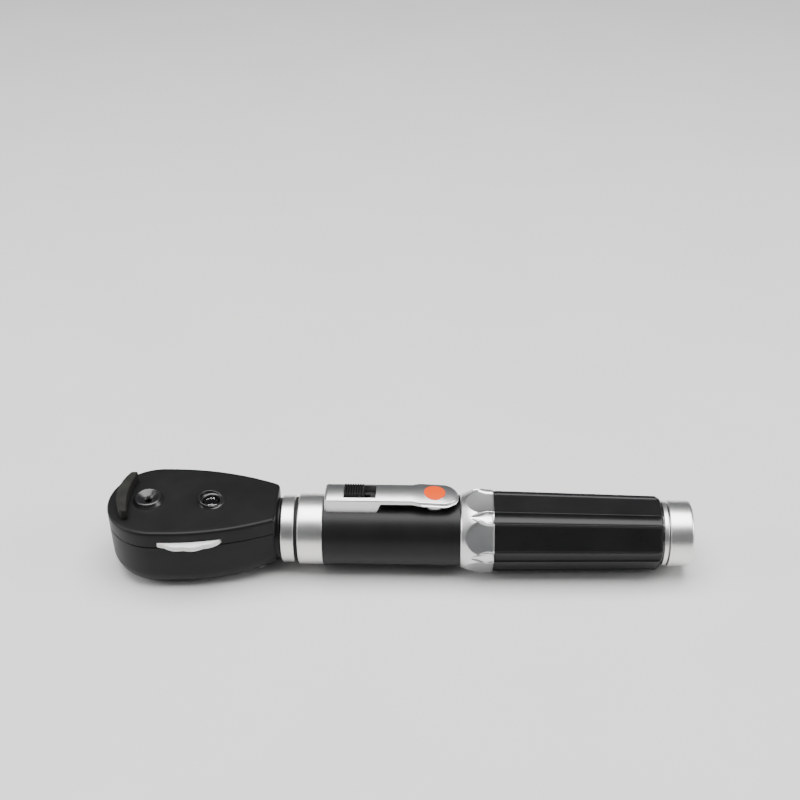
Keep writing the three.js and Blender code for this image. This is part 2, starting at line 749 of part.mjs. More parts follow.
// The rear housing's bulk: the plan, with its back edge rounded at the nose and along both sides,
// and its back rising towards the neck.
function housingBulk(wall, top) {
  const back = -BACK_DEPTH + wall + (wall > 0 ? 0.4 : 0);
  const nose = xHeadEnd + wall;
  const edge = BACK_EDGE - wall * 0.5;
  const side = new THREE.Shape();
  side.moveTo(nose - 1, top);
  side.lineTo(nose - 1, back + edge);
  side.lineTo(nose, back + edge);
  side.absarc(nose + edge, back + edge, edge, Math.PI, 1.5 * Math.PI, false);
  side.lineTo(xHead - BACK_SLOPE_START, back);
  side.quadraticCurveTo(xHead - BACK_SLOPE_START * 0.45, back, xHead - wall, back + BACK_SLOPE_RISE);
  side.lineTo(xHead + 1, back + BACK_SLOPE_RISE);
  side.lineTo(xHead + 1, top);
  side.closePath();
  const half = HEAD_HALF_WIDTH - wall;
  const section = new THREE.Shape();
  section.moveTo(-half - 1, top);
  section.lineTo(-half - 1, back + edge);
  section.lineTo(-half, back + edge);
  section.absarc(-half + edge, back + edge, edge, Math.PI, 1.5 * Math.PI, false);
  section.absarc(half - edge, back + edge, edge, 1.5 * Math.PI, 2 * Math.PI, false);
  section.lineTo(half + 1, back + edge);
  section.lineTo(half + 1, top);
  section.closePath();
  return common(
    slab(headPlan(wall), -2 * BACK_DEPTH, top + 1),
    sideProfile(side, 4 * HEAD_HALF_WIDTH, 6),
    endProfile(section, xHeadEnd - 2, xHead + 2, 6),
  );
}

// Neck: a collar behind the nut, then a stem with a flange that keeps the nut on it.
const stemRadius = SPIGOT_RADIUS - 1.2;
const flangeStart = xNutFront + NUT_SHOULDER + RUNNING;
const flangeEnd = -FERRULE_LENGTH - SPIGOT_LENGTH - RUNNING;
const neckBack = xHead - 8;
const neck = turned([
  [0, neckBack],
  [LAMP_RADIUS + 1.9, neckBack],
  [LAMP_RADIUS + 1.9, xHead - SHELL_WALL],
  [nutRadius - 0.8, xHead - SHELL_WALL],
  [nutRadius - 0.8, xNutFront - RUNNING],
  [stemRadius, xNutFront - RUNNING],
  [stemRadius, flangeStart],
  [SPIGOT_RADIUS, flangeStart],
  [SPIGOT_RADIUS, flangeEnd],
  [0, flangeEnd],
]);
const lampBore = bar(LAMP_RADIUS + RUNNING, neckBack - 1, flangeEnd + 1);

// Aperture wheel, across the light path: it just reaches a finger scoop in the back.
const wheelBottom = -BACK_DEPTH + WHEEL_RECESS;
const wheelRadius = (-wheelBottom + WHEEL_RIM) / 2;
const zWheel = wheelBottom + wheelRadius;
const apertureCircle = wheelRadius - WHEEL_RIM;
const xWheel = xDisc + 0.7 * lensCircle;
const scoop = turned([
  [0, -SCOOP_HALF_WIDTH],
  [SCOOP_RADIUS, -SCOOP_HALF_WIDTH],
  [SCOOP_RADIUS, SCOOP_HALF_WIDTH],
  [0, SCOOP_HALF_WIDTH],
], { axis: "y", x: xWheel, z: -BACK_DEPTH - SCOOP_RADIUS + SCOOP_DEPTH });
const wheelSlotHalf = Math.sqrt(wheelRadius ** 2 - (zWheel - zFloor) ** 2) + 2 * RUNNING;
const wheelSlot = box(
  xWheel - WHEEL_THICKNESS / 2 - RUNNING,
  xWheel + WHEEL_THICKNESS / 2 + RUNNING,
  -wheelSlotHalf,
  wheelSlotHalf,
  -BACK_DEPTH - 1,
  zFloor + 1,
);

// Window on the patient's side, over the mirror and the line of sight.
const xMirror = xSight + MIRROR_SETBACK;
const xWindow = (xSight + xMirror) / 2 + 0.2;
const windowSeat = bar(
  WINDOW_RADIUS,
  -BACK_DEPTH - 1,
  -BACK_DEPTH + WINDOW_SUNK + WINDOW_THICKNESS + SEAM,
  { axis: "z", x: xWindow },
);
const windowHole = bar(WINDOW_RADIUS - 0.8, -BACK_DEPTH - 1, zFloor + 1, { axis: "z", x: xWindow });

// Two screws from the back draw the shells together.
const xScrew = xHead - 6.2;
const xScrewNose = xHeadEnd + 6.6;
const zScrewHead = -BACK_DEPTH + 2.6;
const screwPlaces = [
  { name: "screw_nose", x: xScrewNose, y: 0 },
  { name: "screw_neck", x: xScrew, y: -SCREW_SPREAD },
];

const frontScrewTop = zCeiling - 0.2;
const rearBosses = screwPlaces.map(({ x, y }) =>
  bar(BOSS_RADIUS, -BACK_DEPTH + 1, PARTING_HEIGHT - 0.8, { axis: "z", x, y, segments: SMALL_ROUND }));
const screwHoles = screwPlaces.map(({ x, y }) =>
  turned([
    [0, -BACK_DEPTH - 1],
    [SCREW_HEAD_RADIUS + 0.15, -BACK_DEPTH - 1],
    [SCREW_HEAD_RADIUS + 0.15, zScrewHead + SEAM],
    [SCREW_RADIUS + 0.1, zScrewHead + SEAM],
    [SCREW_RADIUS + 0.1, FACE_HEIGHT],
    [0, FACE_HEIGHT],
  ], { axis: "z", x, y, segments: SMALL_ROUND }));

const outerBulk = housingBulk(0, PARTING_HEIGHT);
const rearHousing = cut(
  join(
    common(
      join(
        cut(outerBulk, housingBulk(SHELL_WALL, PARTING_HEIGHT + 2)),
        ...rearBosses,
      ),
      outerBulk,
    ),
    common(neck, box(neckBack - 1, flangeEnd + 1, -20, 20, -20, PARTING_HEIGHT)),
    common(neck, box(xHead + SEAM, flangeEnd + 1, -20, 20, -20, 20)),
  ),
  lampBore,
  scoop,
  wheelSlot,
  windowSeat,
  windowHole,
  ...screwHoles,
);
part(head, "rear_housing", rearHousing, blackPlastic);

// Front cover: the face plate with its rim down to the parting line.
const coverLow = PARTING_HEIGHT + SEAM;
const zBoss = zDiscTop + 0.2;
const coverBoss = (x, y, radius, low) =>
  bar(radius, low, zCeiling + 0.5, { axis: "z", x, y, segments: SMALL_ROUND });
const coverShell = slab(headPlan(0), coverLow - FACE_BEVEL, FACE_HEIGHT, FACE_BEVEL);
const coverCavity = slab(headPlan(SHELL_WALL), coverLow - 2, zCeiling);
const frontCover = cut(
  join(
    cut(
      common(coverShell, slab(headPlan(0), coverLow, FACE_HEIGHT + 1)),
      coverCavity,
      bar(discRadius + DISC_CLEARANCE, coverLow - 1, zBoss, { axis: "z", x: xDisc }),
    ),
    coverBoss(xDisc, 0, AXLE_BOSS_RADIUS, zBoss),
    coverBoss(xScrewNose, 0, BOSS_RADIUS - 0.4, zBoss),
    coverBoss(xScrew, -SCREW_SPREAD, BOSS_RADIUS - 0.4, coverLow),
  ),
  bar(AXLE_TIP_RADIUS + SEAM, 0, zCeiling, { axis: "z", x: xDisc, segments: SMALL_ROUND }),
  bar(EYEPIECE_RADIUS - 0.6, 0, FACE_HEIGHT + 1, { axis: "z", x: xSight, segments: 24 }),
  bar(BEZEL_BORE + 0.6, 0, FACE_HEIGHT + 1, { axis: "z", x: xDial, segments: 24 }),
  bar(SCREW_RADIUS + 0.1, 0, frontScrewTop, { axis: "z", x: xScrewNose, segments: SMALL_ROUND }),
  bar(SCREW_RADIUS + 0.1, 0, frontScrewTop, {
    axis: "z",
    x: xScrew,
    y: -SCREW_SPREAD,
    segments: SMALL_ROUND,
  }),
);
part(head, "front_cover", frontCover, blackPlastic);

for (const { name, x, y } of screwPlaces) {
  const screw = turned([
    [0, zScrewHead - SCREW_HEAD_HEIGHT],
    [SCREW_HEAD_RADIUS, zScrewHead - SCREW_HEAD_HEIGHT],
    [SCREW_HEAD_RADIUS, zScrewHead],
    [SCREW_RADIUS, zScrewHead],
    [SCREW_RADIUS, frontScrewTop - 0.4],
    [0, frontScrewTop - 0.4],
  ], { axis: "z", x, y, segments: 12 });
  part(head, name, screw, springSteel);
}

part(
  head,
  "patient_window",
  bar(
    WINDOW_RADIUS - SEAM,
    -BACK_DEPTH + WINDOW_SUNK,
    -BACK_DEPTH + WINDOW_SUNK + WINDOW_THICKNESS,
    { axis: "z", x: xWindow, segments: 24 },
  ),
  glass,
);

// Union nut: captive on the neck, it screws over the ferrule's spigot.
const nutBore = SPIGOT_RADIUS + RUNNING;
const nutShoulder = stemRadius + RUNNING;
const unionNut = turned([
  [nutShoulder, xNutFront],
  [nutRadius - 0.3, xNutFront],
  [nutRadius, xNutFront + 0.3],
  [nutRadius, xNut - 0.3],
  [nutRadius - 0.3, xNut],
  [nutBore, xNut],
  [nutBore, xNutFront + NUT_SHOULDER],
  [nutShoulder, xNutFront + NUT_SHOULDER],
  [nutShoulder, xNutFront],
]);
part(head, "union_nut", unionNut, satinMetal);

// ---------------------------------------------------------------- face parts

const eyepiece = turned([
  [EYEPIECE_BORE, zCeiling],
  [EYEPIECE_RADIUS - 0.6 - SEAM, zCeiling],
  [EYEPIECE_RADIUS - 0.6 - SEAM, FACE_HEIGHT + SEAM],
  [EYEPIECE_FOOT, FACE_HEIGHT + SEAM],
  [EYEPIECE_FOOT - 0.5, FACE_HEIGHT + 0.5],
  [EYEPIECE_RADIUS, FACE_HEIGHT + EYEPIECE_HEIGHT - 0.2],
  [EYEPIECE_RADIUS - 0.25, FACE_HEIGHT + EYEPIECE_HEIGHT],
  [EYEPIECE_RADIUS - 0.7, FACE_HEIGHT + EYEPIECE_HEIGHT - 0.1],
  [EYEPIECE_BORE + 0.6, zCeiling + 1.3],
  [EYEPIECE_BORE, zCeiling + 0.8],
  [EYEPIECE_BORE, zCeiling],
], { axis: "z", x: xSight, segments: 28 });
part(head, "eyepiece_ring", eyepiece, blackGloss);

// Dial window bezel: its top is cut at a slant, high on the nose side, level with the face at the other.
const bezelSlant = polygon([
  [xDial - BEZEL_RADIUS - 1, zCeiling - 1],
  [xDial + BEZEL_RADIUS + 1, zCeiling - 1],
  [xDial + BEZEL_RADIUS + 1, FACE_HEIGHT - 0.1],
  [xDial + BEZEL_RADIUS, FACE_HEIGHT + 0.2],
  [xDial - BEZEL_RADIUS * 0.6, FACE_HEIGHT + BEZEL_HEIGHT],
  [xDial - BEZEL_RADIUS - 1, FACE_HEIGHT + BEZEL_HEIGHT],
]);
const bezel = common(
  turned([
    [BEZEL_BORE, zCeiling + 0.2],
    [BEZEL_BORE + 0.6 - SEAM, zCeiling + 0.2],
    [BEZEL_BORE + 0.6 - SEAM, FACE_HEIGHT + SEAM],
    [BEZEL_RADIUS + 0.4, FACE_HEIGHT + SEAM],
    [BEZEL_RADIUS, FACE_HEIGHT + 0.7],
    [BEZEL_RADIUS - 0.2, FACE_HEIGHT + BEZEL_HEIGHT + 1],
    [BEZEL_BORE + 0.7, FACE_HEIGHT + BEZEL_HEIGHT + 1],
    [BEZEL_BORE, FACE_HEIGHT - 0.2],
    [BEZEL_BORE, zCeiling + 0.2],
  ], { axis: "z", x: xDial, segments: 28 }),
  sideProfile(bezelSlant, 4 * BEZEL_RADIUS),
);
part(head, "dial_bezel", bezel, blackGloss);

// Small domed magnifier over the dial.
function domed(radius, low, edge, rise, steps) {
  const profile = [[0, low], [radius, low], [radius, low + edge]];
  for (let i = 1; i < steps; i += 1) {
    const angle = (i / steps) * (Math.PI / 2);
    profile.push([radius * Math.cos(angle), low + edge + rise * Math.sin(angle)]);
  }
  profile.push([0, low + edge + rise]);
  return profile;
}
part(
  head,
  "dial_magnifier",
  turned(domed(BEZEL_BORE - SEAM, zCeiling + 0.3, 0.4, 0.7, 3), {
    axis: "z",
    x: xDial,
    segments: 20,
  }),
  glass,
);

// Brow rest: a curved rubber bar near the nose, thinner towards its ends.
const xBrow = xHeadEnd + BROW_INSET;
const browSweep = Math.asin((BROW_HALF_LENGTH - 0.8) / BROW_OUTER_CURVE);
const innerSweep = Math.asin((BROW_HALF_LENGTH - 0.8) / BROW_INNER_CURVE);
const outerCentre = xBrow + BROW_OUTER_CURVE;
const innerCentre = xBrow + BROW_THICKNESS + BROW_INNER_CURVE;
const browEnd = outerCentre - BROW_OUTER_CURVE * Math.cos(browSweep);
const innerEnd = innerCentre - BROW_INNER_CURVE * Math.cos(innerSweep);
const browPlan = new THREE.Shape();
browPlan.moveTo(browEnd, BROW_HALF_LENGTH - 0.8);
browPlan.absarc(outerCentre, 0, BROW_OUTER_CURVE, Math.PI - browSweep, Math.PI + browSweep, false);
browPlan.quadraticCurveTo(
  (browEnd + innerEnd) / 2,
  -BROW_HALF_LENGTH - 0.6,
  innerEnd,
  -BROW_HALF_LENGTH + 0.8,
);
browPlan.absarc(innerCentre, 0, BROW_INNER_CURVE, Math.PI + innerSweep, Math.PI - innerSweep, true);
browPlan.quadraticCurveTo(
  (browEnd + innerEnd) / 2,
  BROW_HALF_LENGTH + 0.6,
  browEnd,
  BROW_HALF_LENGTH - 0.8,
);
part(
  head,
  "brow_rest",
  slab(browPlan, FACE_HEIGHT + SEAM - 0.3, FACE_HEIGHT + BROW_HEIGHT, 0.3, 10)
    .intersect(slab(browPlan, FACE_HEIGHT + SEAM, FACE_HEIGHT + BROW_HEIGHT + 1, 0, 10)),
  rubber,
);

// ---------------------------------------------------------------- lens disc and its lenses

// Scalloped outline: one lobe for each lens position.
const outline = [];
for (let i = 0; i < LENS_POSITIONS * LOBE_STEPS; i += 1) {
  const angle = (i / (LENS_POSITIONS * LOBE_STEPS)) * 2 * Math.PI;
  const lobe = Math.abs(Math.cos((angle * LENS_POSITIONS) / 2));
  const radius = discRadius - SCALLOP_DEPTH * (1 - lobe);
  outline.push([xDisc + radius * Math.cos(angle), radius * Math.sin(angle)]);
}
const lensPlace = (i) => {
  const angle = Math.PI + (i / LENS_POSITIONS) * 2 * Math.PI;
  return { x: xDisc + lensCircle * Math.cos(angle), y: lensCircle * Math.sin(angle) };
};
const lensHoles = [];
for (let i = 0; i < LENS_POSITIONS; i += 1) {
  const { x, y } = lensPlace(i);
  lensHoles.push(bar(LENS_RADIUS, zDisc - 1, zDiscTop + 1, { axis: "z", x, y, segments: 12 }));
}
const lensDisc = cut(
  slab(polygon(outline), zDisc, zDiscTop),
  bar(AXLE_RADIUS + 0.1, zDisc - 1, zDiscTop + 1, { axis: "z", x: xDisc }),
  ...lensHoles,
);
part(head, "lens_disc", lensDisc, palePlastic);

// Position 0 stays open. Of the rest, the first nine are plus lenses and the others minus lenses.
const zLens = zDisc + DISC_THICKNESS / 2;
const lensRim = LENS_RADIUS - SEAM;
for (let i = 1; i < LENS_POSITIONS; i += 1) {
  const strength = i <= PLUS_LENSES ? i / PLUS_LENSES : (i - LENS_POSITIONS) / PLUS_LENSES;
  const bulge = 0.12 + 0.38 * Math.abs(strength);
  const edge = strength > 0 ? 0.25 : 0.25 + bulge;
  const middle = strength > 0 ? 0.25 + bulge : 0.25;
  const half = (edge + middle) / 2;
  const { x, y } = lensPlace(i);
  const lens = turned([
    [0, -middle],
    [lensRim * 0.6, -half],
    [lensRim, -edge],
    [lensRim, edge],
    [lensRim * 0.6, half],
    [0, middle],
  ], { axis: "z", x, y, z: zLens, segments: 12 });
  part(head, `lens_${String(i).padStart(2, "0")}`, lens, glass);
}

// Shoulder screw that the disc turns on.
const axleHeadTop = zDisc - 0.15;
const axle = turned([
  [0, axleHeadTop - AXLE_HEAD_HEIGHT],
  [AXLE_HEAD_RADIUS, axleHeadTop - AXLE_HEAD_HEIGHT],
  [AXLE_HEAD_RADIUS, axleHeadTop],
  [AXLE_RADIUS, axleHeadTop],
  [AXLE_RADIUS, zBoss - SEAM],
  [AXLE_TIP_RADIUS, zBoss - SEAM],
  [AXLE_TIP_RADIUS, zCeiling - 0.3],
  [0, zCeiling - 0.3],
], { axis: "z", x: xDisc, segments: 20 });
part(head, "disc_axle", axle, springSteel);

// Leaf spring whose bend drops into a scallop and stops the disc at each lens.
const valley = discRadius - SCALLOP_DEPTH;
const yValley = valley * Math.sin(Math.PI / LENS_POSITIONS);
const leafTip = xDisc + Math.sqrt((discRadius + LEAF_CLEARANCE) ** 2 - yValley ** 2);
const leaf = polygon([
  [leafTip, yValley],
  [leafTip + 1.1, yValley - 1.2],
  [leafTip + 1.1, yValley - 7.2],
  [leafTip + 1.1 + LEAF_THICKNESS, yValley - 7.2],
  [leafTip + 1.1 + LEAF_THICKNESS, yValley - 1.1],
  [leafTip + LEAF_THICKNESS * 1.4, yValley],
  [leafTip + 1.1 + LEAF_THICKNESS, yValley + 1.1],
  [leafTip + 1.1 + LEAF_THICKNESS, yValley + 4],
  [leafTip + 1.1, yValley + 4],
  [leafTip + 1.1, yValley + 1.2],
]);
part(head, "detent_spring", slab(leaf, zDisc + SEAM, zDiscTop - SEAM), springSteel);

// ---------------------------------------------------------------- lamp, optics and aperture wheel

// Lamp: a plain metal base with a flange, and its glass bulb.
const lampFront = flangeEnd - 0.8;
const lampBase = turned([
  [0, lampFront],
  [1.4, lampFront],
  [1.4, lampFront - 0.6],
  [LAMP_RADIUS, lampFront - 0.9],
  [LAMP_RADIUS, lampFront - LAMP_BASE_LENGTH],
  [0, lampFront - LAMP_BASE_LENGTH],
], { segments: 20 });
part(head, "lamp_base", lampBase, brass);
const xBulb = lampFront - LAMP_BASE_LENGTH - SEAM;
const bulb = turned([
  [0, xBulb],
  [BULB_RADIUS, xBulb],
  [BULB_RADIUS, xBulb - BULB_LENGTH + 1.8],
  [BULB_RADIUS * 0.8, xBulb - BULB_LENGTH + 0.6],
  [BULB_RADIUS * 0.4, xBulb - BULB_LENGTH + 0.1],
  [0, xBulb - BULB_LENGTH],
], { segments: 20 });
part(head, "lamp_bulb", bulb, glass);

// Carrier: a tube round the light path, two bearing blocks for the wheel's axle, a wedge for the mirror.
const seatRadius = OPTIC_RADIUS + SEAM;
const carrierRadius = seatRadius + OPTIC_WALL;
const xCarrier = xBulb - BULB_LENGTH - 0.6;
const SLOT_SIDE = WHEEL_THICKNESS / 2 + RUNNING;
const xCarrierEnd = xMirror + MIRROR_LENGTH * 0.7;
const wedgeBack = MIRROR_THICKNESS / 2 + 0.12;
const lineZ = (x) => x - xMirror + wedgeBack * Math.SQRT2;
const xWedge = xSight + 1.6;
const zBridge = carrierRadius - 1.0;
const xWedgeTop = zBridge + xMirror - wedgeBack * Math.SQRT2;
const wedge = sideProfile(
  polygon([
    [xCarrierEnd + 1, carrierRadius - 0.1],
    [xWedge, carrierRadius - 0.1],
    [xWedge, lineZ(xWedge)],
    [xWedgeTop, zBridge],
    [xCarrierEnd + 1, zBridge],
  ]),
  MIRROR_WIDTH,
);
const carrier = cut(
  join(
    bar(carrierRadius, xCarrierEnd, xCarrier),
    common(
      box(
        xWheel - SLOT_SIDE - BLOCK_LENGTH,
        xWheel + SLOT_SIDE + BLOCK_LENGTH,
        -BLOCK_HALF_WIDTH,
        BLOCK_HALF_WIDTH,
        zFloor,
        -1,
      ),
      housingBulk(SHELL_WALL + RUNNING, PARTING_HEIGHT),
    ),
  ),
  bar(seatRadius, xCarrierEnd - 1, xCarrier + 1, { segments: 24 }),
  box(
    xWheel - SLOT_SIDE,
    xWheel + SLOT_SIDE,
    -carrierRadius - 1,
    carrierRadius + 1,
    -BACK_DEPTH,
    zWheel + wheelRadius + RUNNING,
  ),
  bar(AXLE_PIN_RADIUS + SEAM, xWheel - 10, xWheel + 10, { z: zWheel, segments: 14 }),
);
part(head, "optics_carrier", carrier.add(wedge), blackPlastic);

// A lens in the carrier, flat towards the lamp and domed towards the mirror.
function carrierLens(x) {
  return turned([
    [0, x],
    [OPTIC_RADIUS, x],
    [OPTIC_RADIUS, x - 0.6],
    [OPTIC_RADIUS * 0.6, x - 1.3],
    [0, x - 1.6],
  ], { segments: 20 });
}
part(head, "condenser_lens", carrierLens(xCarrier - 0.4), glass);
part(head, "objective_lens", carrierLens(xCarrierEnd + 2.6), glass);

// Front-surface mirror at 45 degrees: it turns the beam out through the window.
const mirrorGeometry = new THREE.BoxGeometry(MIRROR_LENGTH, MIRROR_WIDTH, MIRROR_THICKNESS);
mirrorGeometry.rotateY(-Math.PI / 4);
mirrorGeometry.translate(xMirror, 0, 0);
part(head, "mirror", solid(mirrorGeometry), mirrorFace);

// Aperture wheel with stops of growing size on one circle.
const wheelEdge = [];
for (let i = 0; i < WHEEL_TEETH * 2; i += 1) {
  const angle = (i / (WHEEL_TEETH * 2)) * 2 * Math.PI;
  const radius = wheelRadius - (i % 2) * 0.25;
  wheelEdge.push([radius * Math.cos(angle), zWheel + radius * Math.sin(angle)]);
}
const stops = [];
for (let i = 0; i < APERTURE_COUNT; i += 1) {
  const angle = Math.PI / 2 + (i / APERTURE_COUNT) * 2 * Math.PI;
  stops.push(bar(0.5 + 0.2 * i, xWheel - 3, xWheel + 3, {
    y: apertureCircle * Math.cos(angle),
    z: zWheel + apertureCircle * Math.sin(angle),
    segments: 14,
  }));
}
const apertureWheel = cut(
  endProfile(polygon(wheelEdge), xWheel - WHEEL_THICKNESS / 2, xWheel + WHEEL_THICKNESS / 2),
  bar(AXLE_PIN_RADIUS + 0.1, xWheel - 3, xWheel + 3, { z: zWheel, segments: 14 }),
  ...stops,
);
part(head, "aperture_wheel", apertureWheel, blackGrip);
part(
  head,
  "aperture_axle",
  bar(
    AXLE_PIN_RADIUS,
    xWheel - SLOT_SIDE - BLOCK_LENGTH + 0.3,
    xWheel + SLOT_SIDE + BLOCK_LENGTH - 0.3,
    { z: zWheel, segments: 14 },
  ),
  springSteel,
);

// ---------------------------------------------------------------- to the part's origin

ophthalmoscope.position.set(-(xHeadEnd + xCapEnd) / 2, 0, BACK_DEPTH);

export default ophthalmoscope;
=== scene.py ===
# %% [markdown]
# # A pocket ophthalmoscope, lying on its back
#
# The instrument is about 186 mm long: a black plastic head that the doctor looks through, two silver rings,
# a black barrel with a sprung clip and its switch, a faceted silver collar, a black six-sided grip and a
# silver tail cap. The mechanical model is loaded first and stays as it is. Everything made here is a finer
# skin that goes exactly where that model says, and moves with the body that it belongs to.

# %% Load the mechanical model
import math

import bmesh
import bpy
import numpy as np
from mathutils import Matrix, Vector


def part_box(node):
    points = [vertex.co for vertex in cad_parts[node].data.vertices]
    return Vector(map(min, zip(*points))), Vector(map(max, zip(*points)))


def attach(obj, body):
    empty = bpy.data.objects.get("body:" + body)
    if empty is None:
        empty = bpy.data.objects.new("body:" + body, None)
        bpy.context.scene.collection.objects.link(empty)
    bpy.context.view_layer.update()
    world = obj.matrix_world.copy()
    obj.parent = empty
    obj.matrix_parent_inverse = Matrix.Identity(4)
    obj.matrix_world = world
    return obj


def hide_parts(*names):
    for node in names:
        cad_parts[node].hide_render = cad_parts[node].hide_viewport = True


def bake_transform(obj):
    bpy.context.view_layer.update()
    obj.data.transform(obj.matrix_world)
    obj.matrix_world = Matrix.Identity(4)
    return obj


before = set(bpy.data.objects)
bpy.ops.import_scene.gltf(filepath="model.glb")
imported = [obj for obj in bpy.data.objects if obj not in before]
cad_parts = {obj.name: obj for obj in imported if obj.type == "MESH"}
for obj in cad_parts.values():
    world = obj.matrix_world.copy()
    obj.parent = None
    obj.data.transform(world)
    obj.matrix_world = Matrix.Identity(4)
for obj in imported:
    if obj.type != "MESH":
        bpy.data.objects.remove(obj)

MM = 0.001
X, Y, Z = 0, 1, 2
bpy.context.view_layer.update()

# %% [markdown]
# ## The camera
#
# The camera is made before the pieces, because the size of every detail depends on how close it is seen.
# It could be aimed with a Track To constraint, but three angles say the same thing plainly: how far the view
# turns to the side, how far it tips down, and how far the picture is rolled.

# %% Camera
CAMERA_PLACE = (11.6 * MM, -306.3 * MM, 286.9 * MM)
CAMERA_TURN = -2.02
CAMERA_TIP = 36.03
CAMERA_ROLL = -0.62
LENS_MM = 57.2


def camera_axes(turn, tip, roll):
    """Right, up and forward of a view that is turned about Z, then tipped down, then rolled (degrees)."""
    turn, tip, roll = (math.radians(angle) for angle in (turn, tip, roll))
    forward = Vector((math.sin(turn) * math.cos(tip), math.cos(turn) * math.cos(tip), -math.sin(tip)))
    right = Vector((math.cos(turn), -math.sin(turn), 0))
    up = right.cross(forward)
    rolled_right = right * math.cos(roll) + up * math.sin(roll)
    rolled_up = up * math.cos(roll) - right * math.sin(roll)
    return rolled_right, rolled_up, forward


right, up, forward = camera_axes(CAMERA_TURN, CAMERA_TIP, CAMERA_ROLL)
camera_data = bpy.data.cameras.new("camera")
camera_data.lens = LENS_MM
camera_data.clip_start = 10 * MM
camera_data.clip_end = 10
camera = bpy.data.objects.new("camera", camera_data)
bpy.context.scene.collection.objects.link(camera)
facing = Matrix((right, up, -forward)).transposed().to_4x4()
camera.matrix_world = Matrix.Translation(CAMERA_PLACE) @ facing
bpy.context.scene.camera = camera
print("the camera looks down", CAMERA_TIP, "degrees through a", LENS_MM, "mm lens")

# %% [markdown]
# ## Places, read from the mechanical model
#
# A copied number goes stale as soon as the model changes, so every place comes from the box of a node.
# The handle's axis runs through the middle of the barrel.

# %% Places


def span(node, axis):
    """Lowest and highest value of a node along one axis, in metres."""
    low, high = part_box(node)
    return low[axis], high[axis]


def middle(node, axis):
    """Halfway between the lowest and the highest value of a node along one axis."""
    return sum(span(node, axis)) / 2


axis_z = middle("barrel_sleeve", Z)
barrel_radius = span("barrel_sleeve", Z)[1] - axis_z
tube_radius = span("battery_tube", Y)[1]
head_start, head_end = span("front_cover", X)
face_z = span("front_cover", Z)[1]
parting_z = span("front_cover", Z)[0] - 0.05 * MM
head_half = span("front_cover", Y)[1]
disc_x = middle("lens_disc", X)
disc_radius = span("lens_disc", X)[1] - disc_x
sight_x = middle("eyepiece_ring", X)
dial_x = middle("dial_magnifier", X)
print("head from", round(head_start / MM, 1), "to", round(head_end / MM, 1), "mm; axis z", round(axis_z / MM, 2))

# %% [markdown]
# ## Surfaces as grids of points
#
# Every new piece is a grid: two parameters go in and a point in space comes out, worked out for the whole
# grid at once with numpy. The same result could be had by hand with extrude and loop cuts, but a formula
# can be read, measured and changed. Three small helpers turn such a grid into a mesh. `cells` numbers the
# four corners of each cell. `put_mesh` makes the object, welds points that share a place, which closes
# seams and poles, and turns the faces outwards. `walled` joins two grids into a wall with a real thickness,
# with an edge strip wherever the kept cells end, so a slot is just some cells that are left out.

# %% Grid helpers
WELD = 1e-7
CREASE = 32.0


def cells(count_u, count_v, round_u=False, round_v=False):
    """Corner numbers of each cell of a grid: itself, the next along u, the one across, the next along v."""
    index = np.arange(count_u * count_v).reshape(count_u, count_v)
    ahead = np.roll(index, -1, axis=0)
    quads = np.stack([index, ahead, np.roll(ahead, -1, axis=1), np.roll(index, -1, axis=1)], axis=-1)
    return quads[: None if round_u else -1, : None if round_v else -1]


def finish_mesh(mesh, crease=CREASE):
    """Welds points in one place, turns the volume positive, and keeps corners above crease degrees sharp."""
    work = bmesh.new()
    work.from_mesh(mesh)
    bmesh.ops.remove_doubles(work, verts=work.verts, dist=WELD)
    bmesh.ops.dissolve_degenerate(work, edges=work.edges, dist=WELD)
    if work.calc_volume(signed=True) < 0:
        bmesh.ops.reverse_faces(work, faces=work.faces)
    work.to_mesh(mesh)
    work.free()
    mesh.shade_smooth()
    mesh.set_sharp_from_angle(angle=math.radians(crease))


def put_mesh(name, points, faces, crease=CREASE):
    """One object from (n, 3) points and (m, 4) corner numbers, at the origin."""
    mesh = bpy.data.meshes.new(name)
    mesh.from_pydata(points.reshape(-1, 3).tolist(), [], faces.reshape(-1, faces.shape[-1]).tolist())
    finish_mesh(mesh, crease)
    piece = bpy.data.objects.new(name, mesh)
    bpy.context.scene.collection.objects.link(piece)
    return piece


def walled(name, outer, inner, keep=None, crease=CREASE):
    """A wall between two grids. A cell's edge that no other kept cell shares gets a strip across the wall."""
    count = outer.shape[0] * outer.shape[1]
    quads = cells(*outer.shape[:2])
    kept = quads.reshape(-1, 4) if keep is None else quads[keep]
    places = np.round(outer.reshape(-1, 3) / WELD).astype(np.int64)
    number = np.unique(places, axis=0, return_inverse=True)[1].reshape(-1)
    begin, end = kept, np.roll(kept, -1, axis=1)
    there = number[begin] * count + number[end]
    back = number[end] * count + number[begin]
    border = (number[begin] != number[end]) & ~np.isin(there, back)
    first, second = begin[border], end[border]
    strip = np.stack([second, first, first + count, second + count], axis=1)
    faces = np.concatenate([kept, kept[:, ::-1] + count, strip])
    return put_mesh(name, np.concatenate([outer.reshape(-1, 3), inner.reshape(-1, 3)]), faces, crease)


def smooth(t):
    """0 before 0, 1 after 1, and 3t² - 2t³ between."""
    t = np.clip(t, 0, 1)
    return t * t * (3 - 2 * t)


def round_off(distance, length, depth=None):
    """How far a surface drops near an edge: a quarter ellipse, 0 at length from it and depth at the edge."""
    share = np.clip(1 - distance / length, 0, 1)
    return (length if depth is None else depth) * (1 - np.sqrt(1 - share**2))


print("grid helpers ready; points closer than", WELD / MM, "mm are welded")

# %% [markdown]
# ## Turned pieces
#
# The rings, the barrel and the tail cap are turned on a lathe, so each is one profile carried round an axis.
# The profile is written as a few corners with a setback each. Near a corner the line is replaced by the
# curve (1-t)²·a + 2t(1-t)·c + t²·b, from the setback before the corner to the setback after it. That small
# bend is what catches the light as a bright line on the real rings.

